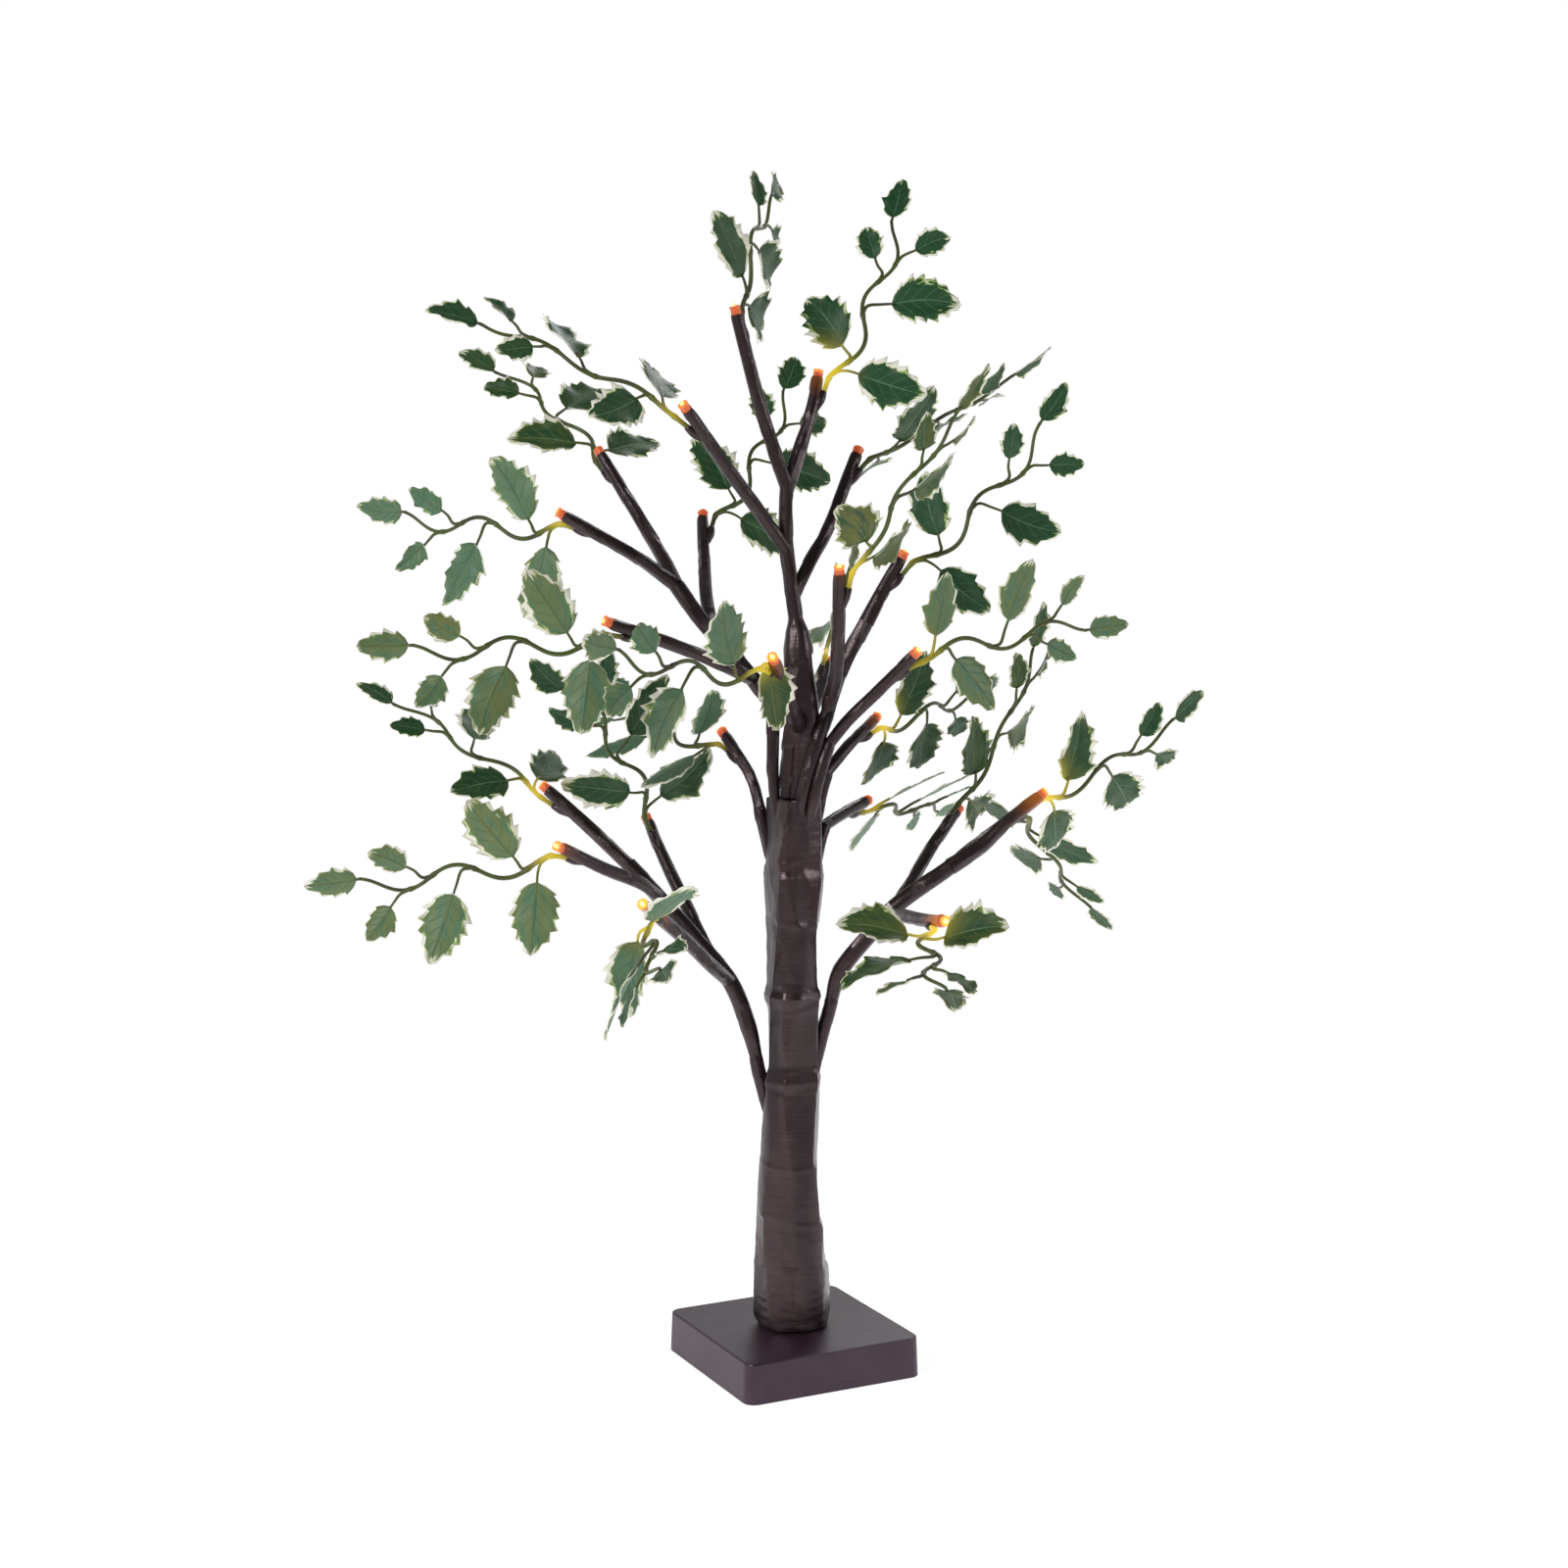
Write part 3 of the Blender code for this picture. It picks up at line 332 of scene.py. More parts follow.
def smooth_route(points, spacing):
    """Evenly spaced points on a smooth curve through a route's points, and where those points fall on it."""
    points = [np.asarray(point, float) for point in points]
    ends = [2 * points[0] - points[1]] + points + [2 * points[-1] - points[-2]]
    fine, knots = [points[0]], [0]
    for index in range(1, len(ends) - 2):
        before, start, stop, after = ends[index - 1:index + 3]
        steps = max(2, int(np.linalg.norm(stop - start) / (0.5 * MM)))
        for step in range(1, steps + 1):
            t = step / steps
            fine.append(0.5 * (2 * start + (stop - before) * t
                               + (2 * before - 5 * start + 4 * stop - after) * t ** 2
                               + (3 * start - before - 3 * stop + after) * t ** 3))
        knots.append(len(fine) - 1)
    fine = np.array(fine)
    run = np.concatenate([[0], np.cumsum(np.linalg.norm(np.diff(fine, axis=0), axis=1))])
    count = max(2, int(round(run[-1] / spacing))) + 1
    stations = np.linspace(0, run[-1], count)
    even = np.stack([np.interp(stations, run, fine[:, axis]) for axis in range(3)], axis=1)
    return even, stations, run[knots]


def ring_axes(points):
    """Two directions across a route at each of its points, turning as little as they can along it."""
    tangents = np.gradient(points, axis=0)
    tangents /= np.linalg.norm(tangents, axis=1)[:, None]
    aside = np.cross(tangents[0], UP if abs(tangents[0][2]) < 0.9 else ACROSS)
    axes = []
    for tangent in tangents:
        aside = unit(aside - tangent * np.dot(aside, tangent))
        axes.append((aside, np.cross(tangent, aside)))
    return axes


# ---------------------------------------------------------------- settings
class BaseSettings(bpy.types.PropertyGroup):
    """The moulded base and what is in it."""
    plastic: FloatVectorProperty(name="Plastic", description="Colour of the base's plastic", subtype='COLOR',
                                 default=(0.029, 0.0130, 0.0215))
    grain: FloatProperty(name="Grain", description="Depth of the texture on the plastic", default=0.12,
                         min=0, max=1)


class FilmSettings(bpy.types.PropertyGroup):
    """The bark film around the trunk and the boughs."""
    colour: FloatVectorProperty(name="Film", description="Colour of the bark film", subtype='COLOR',
                                default=(0.0175, 0.0092, 0.0102))
    pitch: FloatProperty(name="Wrap pitch", description="Length of one turn of film around a twig",
                         unit='LENGTH', default=19 * MM)
    lap: FloatProperty(name="Lap", description="Height of the step where the film laps over itself",
                       unit='LENGTH', default=0.35 * MM)
    crumple: FloatProperty(name="Crumple", description="How uneven the film lies, as a share of its radius",
                           default=0.07, min=0, max=0.4)
    sides: IntProperty(name="Sides", description="Sides of a twig's film", default=18, min=8, max=48)


class LeafSettings(bpy.types.PropertyGroup):
    """The leaf sprays."""
    front: FloatVectorProperty(name="Front", description="Green of a leaf's front", subtype='COLOR',
                               default=(0.009, 0.056, 0.019))
    back: FloatVectorProperty(name="Back", description="Green of a leaf's back", subtype='COLOR',
                              default=(0.082, 0.185, 0.108))
    margin: FloatVectorProperty(name="Margin", description="Colour of a leaf's margin", subtype='COLOR',
                                default=(0.97, 0.95, 0.82))
    fringe: FloatVectorProperty(name="Fringe", description="Colour between green and margin", subtype='COLOR',
                                default=(0.33, 0.46, 0.11))
    stem: FloatVectorProperty(name="Stem", description="Colour of the stems", subtype='COLOR',
                              default=(0.075, 0.105, 0.022))
    thickness: FloatProperty(name="Thickness", description="Thickness of a leaf", unit='LENGTH',
                             default=0.35 * MM)
    teeth: IntProperty(name="Teeth", description="Spikes along each side of a large leaf", default=6,
                       min=3, max=9)


class LampSettings(bpy.types.PropertyGroup):
    """The lamps at the twig tips."""
    cap: FloatVectorProperty(name="Cap", description="Colour of a lamp's cap", subtype='COLOR',
                             default=(0.42, 0.055, 0.018))
    light: FloatVectorProperty(name="Light", description="Colour of the light", subtype='COLOR',
                               default=(1.0, 0.50, 0.10))
    strength: FloatProperty(name="Strength", description="Brightness of a lamp's bulb", default=2.6, min=0)
    reach: FloatProperty(name="Reach", description="How far a lamp's light shows through leaves",
                         unit='LENGTH', default=15 * MM)


class StageSettings(bpy.types.PropertyGroup):
    """The floor, light and camera."""
    distance: FloatProperty(name="Distance", description="Camera's distance in front of the trunk",
                            unit='LENGTH', default=1.245)
    height: FloatProperty(name="Height", description="Camera's height", unit='LENGTH', default=0.441)
    pitch: FloatProperty(name="Pitch", description="How far the camera looks down", subtype='ANGLE',
                         default=radians(6.74))
    lens: FloatProperty(name="Lens", description="Focal length in millimetres", default=58.5)
    daylight: FloatProperty(name="Daylight", description="Strength of the light from above", default=0.22)
    front: FloatProperty(name="Front", description="Strength of the light from all round the camera",
                         default=0.35)


# ---------------------------------------------------------------- finishes
class Finish:
    """A material and its nodes, wired a step at a time."""

    def __init__(self, name, roughness=0.5, metallic=0.0):
        self.material = bpy.data.materials.new(name)
        self.material.use_nodes = True
        self.nodes, self.links = self.material.node_tree.nodes, self.material.node_tree.links
        self.shader = self.nodes["Principled BSDF"]
        self.plug(self.shader.inputs["Roughness"], roughness)
        self.plug(self.shader.inputs["Metallic"], metallic)

    def plug(self, socket, value):
        """Link a socket to another node's output, or set its value."""
        if isinstance(value, bpy.types.NodeSocket):
            self.links.new(value, socket)
        elif socket.type == 'RGBA' and len(value) == 3:
            socket.default_value = (*value, 1.0)
        else:
            socket.default_value = value

    def shade(self, **values):
        """Set the shader's own sockets, named with _ for a space."""
        for name, value in values.items():
            self.plug(self.shader.inputs[name.replace("_", " ")], value)

    def attribute(self, name):
        """A number that each point of the piece carries."""
        node = self.nodes.new("ShaderNodeAttribute")
        node.attribute_name = name
        return node.outputs["Fac"]

    def uv(self):
        """The two directions of the piece's own UV map, as numbers."""
        node = self.nodes.new("ShaderNodeSeparateXYZ")
        self.links.new(self.nodes.new("ShaderNodeTexCoord").outputs["UV"], node.inputs[0])
        return node.outputs[0], node.outputs[1]

    def stretched(self, round_scale, along_scale):
        """The piece's own UV map as a vector, scaled round the piece and along it."""
        turn, run = self.uv()
        return self.vector(self.maths('MULTIPLY', turn, round_scale),
                           self.maths('MULTIPLY', run, along_scale))

    def place(self):
        """A point's place on the object, in metres."""
        return self.nodes.new("ShaderNodeTexCoord").outputs["Object"]

    def vector(self, x=0.0, y=0.0, z=0.0):
        """Three numbers as one vector."""
        node = self.nodes.new("ShaderNodeCombineXYZ")
        for socket, value in zip(node.inputs, (x, y, z)):
            self.plug(socket, value)
        return node.outputs[0]

    def maths(self, operation, first, second=0.0, third=0.0):
        """One step of arithmetic."""
        node = self.nodes.new("ShaderNodeMath")
        node.operation = operation
        for socket, value in zip(node.inputs, (first, second, third)):
            self.plug(socket, value)
        return node.outputs[0]

    def smooth(self, value, low, high):
        """0 below low, 1 above high, and smooth between them."""
        node = self.nodes.new("ShaderNodeMapRange")
        node.interpolation_type = 'SMOOTHSTEP'
        for name, given in (("Value", value), ("From Min", low), ("From Max", high)):
            self.plug(node.inputs[name], given)
        return node.outputs["Result"]

    def mottle(self, vector, scale, detail=3.0):
        """Soft noise from 0 to 1."""
        node = self.nodes.new("ShaderNodeTexNoise")
        self.plug(node.inputs["Vector"], vector)
        self.plug(node.inputs["Scale"], scale)
        self.plug(node.inputs["Detail"], detail)
        return node.outputs["Fac"]

    def mix(self, share, first, second):
        """Two colours mixed by a share."""
        node = self.nodes.new("ShaderNodeMix")
        node.data_type = 'RGBA'
        self.plug(node.inputs[0], share)
        self.plug(node.inputs[6], first)
        self.plug(node.inputs[7], second)
        return node.outputs[2]

    def relief(self, height, distance, strength=1.0):
        """Bump on the surface, from a height between 0 and 1."""
        node = self.nodes.new("ShaderNodeBump")
        self.plug(node.inputs["Height"], height)
        self.plug(node.inputs["Distance"], distance)
        self.plug(node.inputs["Strength"], strength)
        self.plug(self.shader.inputs["Normal"], node.outputs[0])


def moulded_plastic(name, colour, grain, roughness=0.5):
    """Moulded plastic with a fine spark-eroded texture and faint flow marks."""
    finish = Finish(name)
    place = finish.place()
    fine = finish.mottle(place, 1400, 2.0)
    broad = finish.mottle(place, 55, 3.0)
    lighter = tuple(min(1.0, part * 1.35 + 0.004) for part in colour)
    finish.shade(Base_Color=finish.mix(finish.smooth(broad, 0.3, 0.75), colour, lighter),
                 Roughness=finish.maths('MULTIPLY_ADD', broad, 0.2, roughness - 0.1), Specular_IOR_Level=0.5,
                 Specular_Tint=(0.94, 0.84, 1.0))
    finish.relief(fine, 0.25 * MM, grain)
    return finish.material


def plain_metal(name, colour, roughness):
    """Drawn or plated metal with fine lengthwise brushing."""
    finish = Finish(name, metallic=1.0)
    streaks = finish.mottle(finish.place(), 700, 4.0)
    finish.shade(Base_Color=finish.mix(streaks, colour, tuple(part * 0.75 for part in colour)),
                 Roughness=finish.maths('MULTIPLY_ADD', streaks, 0.25, roughness - 0.1))
    finish.relief(streaks, 0.05 * MM, 0.3)
    return finish.material


def cell_jacket(name):
    """A cell's printed jacket: dark, with a copper band at one end."""
    finish = Finish(name, roughness=0.3, metallic=0.4)
    place = finish.nodes.new("ShaderNodeSeparateXYZ")
    finish.links.new(finish.place(), place.inputs[0])
    band = finish.smooth(finish.maths('ABSOLUTE', place.outputs[0]), 15 * MM, 15.4 * MM)
    finish.shade(Base_Color=finish.mix(band, (0.02, 0.022, 0.028), (0.55, 0.24, 0.10)))
    return finish.material


def bark_film(settings):
    """Dark stretched film: streaks and bands along it, the streaks lighter as painted highlights and the
    bands darker as painted shade, fine lines round it, orange where a lamp shines in.
    """
    finish = Finish("bark_film")
    streaks = finish.mottle(finish.stretched(7.0, 5.0), 3.0, 4.0)
    bands = finish.mottle(finish.stretched(3.0, 0.6), 2.0, 1.0)
    hoops = finish.mottle(finish.stretched(2.0, 110.0), 1.6, 2.0)
    pulls = finish.mottle(finish.stretched(16.0, 9.0), 2.0, 3.0)
    patches = finish.mottle(finish.place(), 60, 3.0)
    creases = finish.mottle(finish.place(), 260, 4.0)
    brown = tuple(part * 1.9 + 0.003 for part in settings.colour)
    streak_highlight = tuple(part * 2.6 + 0.004 for part in settings.colour)
    dark = tuple(part * 0.45 for part in settings.colour)
    base = finish.mix(finish.smooth(patches, 0.35, 0.8), settings.colour, brown)
    # Painted highlights: lighter streaks along the film, where glossy film would catch the light.
    base = finish.mix(finish.smooth(streaks, 0.6, 0.85), base, streak_highlight)
    # Painted shade: broad dark bands along the film, which are also rougher there.
    base = finish.mix(finish.smooth(bands, 0.42, 0.62), base, dark)
    lit = finish.attribute("lit")
    finish.shade(Base_Color=finish.mix(finish.smooth(lit, 0.15, 0.95), base, (0.17, 0.050, 0.010)),
                 Roughness=finish.maths('MULTIPLY_ADD', bands, 0.45, 0.10),
                 Specular_IOR_Level=0.62, Specular_Tint=(0.95, 0.76, 0.80),
                 Emission_Color=finish.mix(finish.smooth(lit, 0.2, 1.0), (0, 0, 0), (0.90, 0.25, 0.01)),
                 Emission_Strength=0.40)
    uneven = finish.maths('MULTIPLY_ADD', creases, 0.035, finish.maths('MULTIPLY', pulls, 0.34))
    lines = finish.maths('MULTIPLY_ADD', streaks, 0.45, finish.maths('MULTIPLY', hoops, 0.30))
    height = finish.maths('ADD', uneven, lines)
    finish.relief(height, 0.5 * MM, 0.7)
    return finish.material


def leaf_green(settings, side):
    """A variegated leaf: green with pale veins, and a feathered cream margin that widens to the tip."""
    is_front = side == "front"
    finish = Finish("leaf_" + side)
    across, along = finish.uv()
    tone = finish.attribute("tone")
    off_rib = finish.maths('ABSOLUTE', finish.maths('MULTIPLY_ADD', across, 2.0, -1.0))
    slanted = finish.maths('SUBTRACT', along, finish.maths('MULTIPLY', off_rib, 0.30))
    rows = finish.maths('FRACT', finish.maths('MULTIPLY', slanted, 5.5))
    off_vein = finish.maths('ABSOLUTE', finish.maths('SUBTRACT', rows, 0.5))
    vein = finish.maths('MULTIPLY', finish.maths('SUBTRACT', 1.0, finish.smooth(off_vein, 0.015, 0.075)),
                        finish.maths('SUBTRACT', 1.0, finish.smooth(off_rib, 0.45, 0.85)))
    rib = finish.maths('SUBTRACT', 1.0, finish.smooth(off_rib, 0.015, 0.065 if is_front else 0.10))
    veins = finish.maths('MAXIMUM', rib, finish.maths('MULTIPLY', vein, 0.6))
    spread = finish.vector(finish.maths('MULTIPLY', across, 2.4), slanted,
                           finish.maths('MULTIPLY', tone, 37.0))
    feather = finish.mottle(spread, 7.0, 3.0)
    blotch = finish.mottle(spread, 2.6, 2.0)
    inside = finish.maths('MINIMUM', finish.maths('SUBTRACT', 1.0, off_rib),
                          finish.maths('MULTIPLY', finish.maths('SUBTRACT', 1.0, along), 1.5))
    ragged = finish.maths('ADD', inside, finish.maths('MULTIPLY_ADD', feather, 0.40, -0.20))
    ragged = finish.maths('ADD', ragged, finish.maths('MULTIPLY_ADD', blotch, 0.60, -0.30))
    start = finish.maths('MULTIPLY_ADD', tone, 0.12, 0.0)
    pale = finish.smooth(ragged, start, finish.maths('ADD', start, 0.05))
    deep = finish.smooth(ragged, finish.maths('ADD', start, 0.04), finish.maths('ADD', start, 0.09))
    plain = settings.front if is_front else settings.back
    lift = (3.4, 1.7, 2.0) if is_front else (1.5, 1.2, 1.2)
    fresh = tuple(part * factor for part, factor in zip(plain, lift))
    freshness = finish.maths('MULTIPLY_ADD', finish.smooth(blotch, 0.35, 0.7), 0.45,
                             finish.maths('MULTIPLY', tone, 0.45))
    green = finish.mix(freshness, plain, fresh)
    vein_colour = (0.20, 0.38, 0.20) if is_front else (0.025, 0.075, 0.035)
    strength = finish.maths('MULTIPLY', finish.maths('MULTIPLY_ADD', feather, 1.2, 0.1), 0.6)
    green = finish.mix(finish.maths('MULTIPLY', veins, strength), green, vein_colour)
    colour = finish.mix(deep, finish.mix(pale, settings.margin, settings.fringe), green)
    # Painted lamp light: leaves turn yellow and glow near a lit lamp, and turn yellow in patches by their
    # spray's warmth in its own lamp's light.
    lit = finish.attribute("lit")
    warm = finish.maths('MAXIMUM', finish.smooth(lit, 0.02, 0.45),
                        finish.maths('MULTIPLY', finish.attribute("warm"), finish.smooth(blotch, 0.25, 0.65)))
    colour = finish.mix(finish.maths('MULTIPLY', warm, 0.62), colour, (0.22, 0.20, 0.025))
    glow = finish.smooth(lit, 0.25, 1.0)
    light = finish.mix(glow, (0, 0, 0), finish.mix(deep, (1.0, 0.78, 0.20), (0.45, 0.42, 0.01)))
    finish.shade(Base_Color=colour, Emission_Color=light, Emission_Strength=0.9, Specular_IOR_Level=0.3,
                 Roughness=finish.maths('MULTIPLY_ADD', feather, 0.25, 0.34))
    finish.relief(finish.maths('ADD', finish.maths('MULTIPLY', veins, -0.7 if is_front else 0.7),
                               finish.maths('MULTIPLY', feather, 0.3)), 0.5 * MM, 0.8)
    return finish.material


def stem_green(settings):
    """A moulded stem: olive, browner in patches, yellow and glowing with painted lamp light where a lamp is
    close.
    """
    finish = Finish("stem_green", roughness=0.42)
    patches = finish.mottle(finish.place(), 75, 3.0)
    brown = (0.055, 0.050, 0.022)
    base = finish.mix(finish.smooth(patches, 0.42, 0.68), settings.stem, brown)
    lit = finish.attribute("lit")
    finish.shade(Base_Color=finish.mix(finish.smooth(lit, 0.02, 0.6), base, (0.36, 0.33, 0.03)),
                 Emission_Color=finish.mix(finish.smooth(lit, 0.2, 1.0), (0, 0, 0), (0.9, 0.62, 0.03)),
                 Emission_Strength=0.8, Specular_IOR_Level=0.35)
    finish.relief(finish.mottle(finish.place(), 500, 3.0), 0.2 * MM, 0.5)
    return finish.material


def lamp_cap(lamp):
    """A lamp's cap: orange film, glowing from within, brighter towards the bulb."""
    finish = Finish("lamp_cap", roughness=0.32)
    _, run = finish.uv()
    wrinkles = finish.mottle(finish.place(), 420, 4.0)
    glow = finish.attribute("glow")
    mouth = finish.smooth(run, 0.018, 0.050)
    heat = finish.maths('MULTIPLY', mouth, glow)
    finish.shade(Base_Color=finish.mix(wrinkles, lamp.cap, (0.62, 0.20, 0.07)),
                 Emission_Color=finish.mix(heat, (0.72, 0.065, 0.012), (1.0, 0.42, 0.05)),
                 Emission_Strength=finish.maths('MULTIPLY_ADD', heat, 0.9, 0.28))
    finish.relief(wrinkles, 0.4 * MM, 0.9)
    return finish.material


def lamp_bulb(lamp):
    """A lamp's bulb: clear resin full of warm light."""
    finish = Finish("lamp_bulb", roughness=0.15)
    glow = finish.maths('POWER', finish.attribute("glow"), 1.5)
    finish.shade(Base_Color=(1.0, 0.75, 0.4), Emission_Color=lamp.light,
                 Emission_Strength=finish.maths('MULTIPLY_ADD', glow, lamp.strength, 0.7))
    return finish.material


# ---------------------------------------------------------------- making pieces
def new_piece(name, bm, body, finishes, replaced=(), crease=None):
    """An object from a bmesh, smooth but for creases over an angle, with its finishes, riding on a body."""
    mesh = bpy.data.meshes.new(name)
    bmesh.ops.recalc_face_normals(bm, faces=bm.faces)
    bm.to_mesh(mesh)
    bm.free()
    for finish in finishes:
        mesh.materials.append(finish)
    mesh.shade_smooth()
    if crease:
        mesh.set_sharp_from_angle(angle=radians(crease))
    piece = bpy.data.objects.new(name, mesh)
    bpy.context.scene.collection.objects.link(piece)
    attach(piece, body)
    if replaced:
        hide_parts(*replaced)
    return piece


def add_light_share(piece, reach, sharp=1):
    """Give each point of a piece its share of the lamps' light; a higher sharp leaves the dim lamps out."""
    points = np.zeros(len(piece.data.vertices) * 3, np.float32)
    piece.data.vertices.foreach_get("co", points)
    points = points.reshape(-1, 3)
    share = np.zeros(len(points), np.float32)
    for lamp, (seat, axis) in lamp_seats().items():
        bulb = seat + axis * LAMP_LENGTH * 0.8
        wide = reach * (0.3 + LAMP_GLOW[lamp])
        bright = (0.25 + 0.75 * LAMP_GLOW[lamp]) ** sharp
        share += bright * np.exp(-((points - bulb) ** 2).sum(axis=1) / wide ** 2)
    piece.data.attributes.new("lit", 'FLOAT', 'POINT').data.foreach_set("value", np.minimum(share, 1.0))


def new_tube_mesh():
    """A bmesh whose points carry how far round and along their tube they are."""
    bm = bmesh.new()
    bm.verts.layers.float.new("turn")
    bm.verts.layers.float.new("run")
    bm.loops.layers.uv.new("UVMap")
    return bm


def sleeve(bm, points, stations, radius, sides):
    """A closed tube: a ring of points extruded along a route.  radius(turn, station) gives its radius."""
    turn, run = bm.verts.layers.float["turn"], bm.verts.layers.float["run"]
    uv = bm.loops.layers.uv["UVMap"]
    ring = bmesh.ops.create_circle(bm, segments=sides, radius=1.0)["verts"]
    for index, vert in enumerate(ring):
        vert[turn] = index / sides
    members = set(ring)
    edges = [edge for edge in bm.edges if edge.verts[0] in members and edge.verts[1] in members]
    faces = [bmesh.ops.contextual_create(bm, geom=edges)["faces"]]
    for index, (point, station, (aside, over)) in enumerate(zip(points, stations, ring_axes(points))):
        if index:
            grown = bmesh.ops.extrude_edge_only(bm, edges=edges)["geom"]
            ring = [item for item in grown if isinstance(item, bmesh.types.BMVert)]
            members = set(ring)
            edges = [item for item in grown if isinstance(item, bmesh.types.BMEdge)
                     and item.verts[0] in members and item.verts[1] in members]
            faces.append([item for item in grown if isinstance(item, bmesh.types.BMFace)])
        for vert in ring:
            angle = tau * vert[turn]
            vert[run] = station
            vert.co = Vector(point + (aside * cos(angle) + over * sin(angle)) * radius(vert[turn], station))
    faces.append(bmesh.ops.contextual_create(bm, geom=edges)["faces"])
    for face in (face for group in faces for face in group):
        turns = [loop.vert[turn] for loop in face.loops]
        wraps = max(turns) - min(turns) > 0.5 and len(turns) == 4
        for loop, share in zip(face.loops, turns):
            loop[uv].uv = (share + 1.0 if wraps and share < 0.5 else share, loop.vert[run] / (100 * MM))


def crumpled(turn, station, seed, coarse):
    """How far film stands in or out of true at a place, from about -1 to 1: broad flats and sharp creases."""
    x, y = cos(tau * turn), sin(tau * turn)
    broad = noise.noise(Vector((x * 0.9 + seed, y * 0.9, station / (coarse * 2.2))))
    crease = abs(noise.noise(Vector((x * 1.9, y * 1.9 + seed, station / coarse))))
    return 1.1 * broad - 1.3 * crease + 0.25


def flats(turn, station, seed, count, length, wrap):
    """A film's radius as a share, when it is stretched over a few flats that change with every wrap."""
    nearest = 1.12
    for index in range(count):
        key = Vector((index * 3.1 + seed, wrap * 0.83, station / length))
        middle = (index + 0.9 * noise.noise(key)) / count
        away = cos(tau * (turn - middle))
        if away > 0.2:
            nearest = min(nearest, (0.96 + 0.26 * noise.noise(key + Vector((7.7, 0, 0)))) / away)
    return nearest


# ---------------------------------------------------------------- pieces
def dress_frame():
    """Finishes for the frame's own nodes: base, cells, contacts, board, tube and leads."""
    base = bpy.context.scene.tree_base
    shell = moulded_plastic("base_plastic", base.plastic, base.grain, 0.4)
    steel = plain_metal("contact_steel", (0.62, 0.62, 0.60), 0.32)
    screw = plain_metal("screw_steel", (0.30, 0.30, 0.31), 0.38)
    finishes = {
        "base_shell": shell, "base_plate": shell, "battery_door": shell,
        "switch_slider": moulded_plastic("switch_plastic", (0.012, 0.012, 0.013), 0.1, 0.35),
        "timer_board": moulded_plastic("board_lacquer", (0.012, 0.10, 0.035), 0.1, 0.3),
        "trunk_tube": moulded_plastic("tube_card", (0.36, 0.25, 0.15), 0.5, 0.8),
        "lead_bundle": moulded_plastic("lead_sleeve", (0.02, 0.09, 0.03), 0.05, 0.4),
        "contact_strip_left": steel, "contact_strip_right": steel,
    }
    for number in range(1, 4):
        finishes[f"battery_cell_{number}"] = cell_jacket(f"cell_jacket_{number}")
    for number in range(1, 5):
        finishes[f"plate_screw_{number}"] = screw
    for node, finish in finishes.items():
        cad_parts[node].data.materials.clear()
        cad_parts[node].data.materials.append(finish)


def trunk_radius(turn, height):
    """The trunk's radius at a share of a turn and a height above its foot."""
    top = TRUNK_TOP - TRUNK_FOOT
    rows = [(low * MM, radius * MM) for low, radius in FOOT_PROFILE]
    rows += [(top + high * MM, radius * MM) for high, radius in HEAD_PROFILE]
    radius = float(np.interp(height, *zip(*rows)))
    above = []
    for level, tilt, depth, width in FOLDS:
        off = height - top - (level + tilt * cos(tau * (turn - level / 90))) * MM
        above.append(min(1.0, max(0.0, off / (3 * MM) + 0.5)))
        deepest = 0.4 + 0.6 * cos(tau * (turn - level / 70)) ** 2
        radius += depth * MM * max(0.0, 1 - abs(off) / (width * MM)) * deepest
    settled = min(1.0, height / (4 * MM))
    shape = flats(turn, height, 5.1, 7, 75 * MM, 0.22 * sum(above))
    uneven = (0.85 * (shape - 1) + 0.022 * crumpled(turn, height, 1.3, 16 * MM)) * radius * settled
    laps = (height / (4.6 * MM) - turn) % 1.0
    wound = max(0.0, 1 - height / (95 * MM)) + max(0.0, 1 - (top - height) / (26 * MM))
    spot = Vector((cos(tau * turn) * 2, sin(tau * turn) * 2, height / (9 * MM)))
    patchy = max(0.0, 0.5 + 1.4 * noise.noise(spot))
    return radius + uneven + (0.5 - laps) * 0.42 * MM * min(1.0, wound) * patchy * settled


def add_trunk(finish):
    """The film around the trunk: flats, folds, fine laps low down, and a mouth that closes at the top."""
    bm = new_tube_mesh()
    top = TRUNK_TOP - TRUNK_FOOT
    heights = [height * MM for height in (0, 0.3, 0.7, 1.3, 2.2, 3.2)]
    heights += list(np.arange(4 * MM, top - 0.6 * MM, 1.15 * MM)) + [top - 0.4 * MM]
    points = np.array([(0, 0, TRUNK_FOOT + height) for height in heights])
    lip = [(top, 0.985), (top + 0.1 * MM, 0.93), (top - 1.0 * MM, 0.88), (top - 4 * MM, 0.86)]
    points = np.vstack([points] + [[(0, 0, TRUNK_FOOT + height)] for height, _ in lip])
    shares = {len(heights) + index: share for index, (_, share) in enumerate(lip)}
    stations = np.array(heights + [top + (index + 1) * 0.01 * MM for index in range(len(lip))])

    def radius(turn, station):
        index = int(np.searchsorted(stations, station - 1e-9))
        return trunk_radius(turn, min(station, top)) * shares.get(index, 1.0)

    upright_sleeve(bm, points, stations, radius, TRUNK_SIDES)
    trunk = new_piece("trunk_film", bm, "stand", [finish], ["trunk_wrap"], 24)
    add_light_share(trunk, 20 * MM, 4)


def upright_sleeve(bm, points, stations, radius, sides):
    """A sleeve on an upright line, whose rings may go down as well as up."""
    line = np.array([(0.0, 0.0, float(index)) for index in range(len(points))])
    lifts = {float(station): point[2] for station, point in zip(stations, points)}
    sleeve(bm, line, stations, radius, sides)
    run = bm.verts.layers.float["run"]
    known = np.array(sorted(lifts))
    for vert in bm.verts:
        vert.co.z = lifts[float(known[np.argmin(abs(known - vert[run]))])]


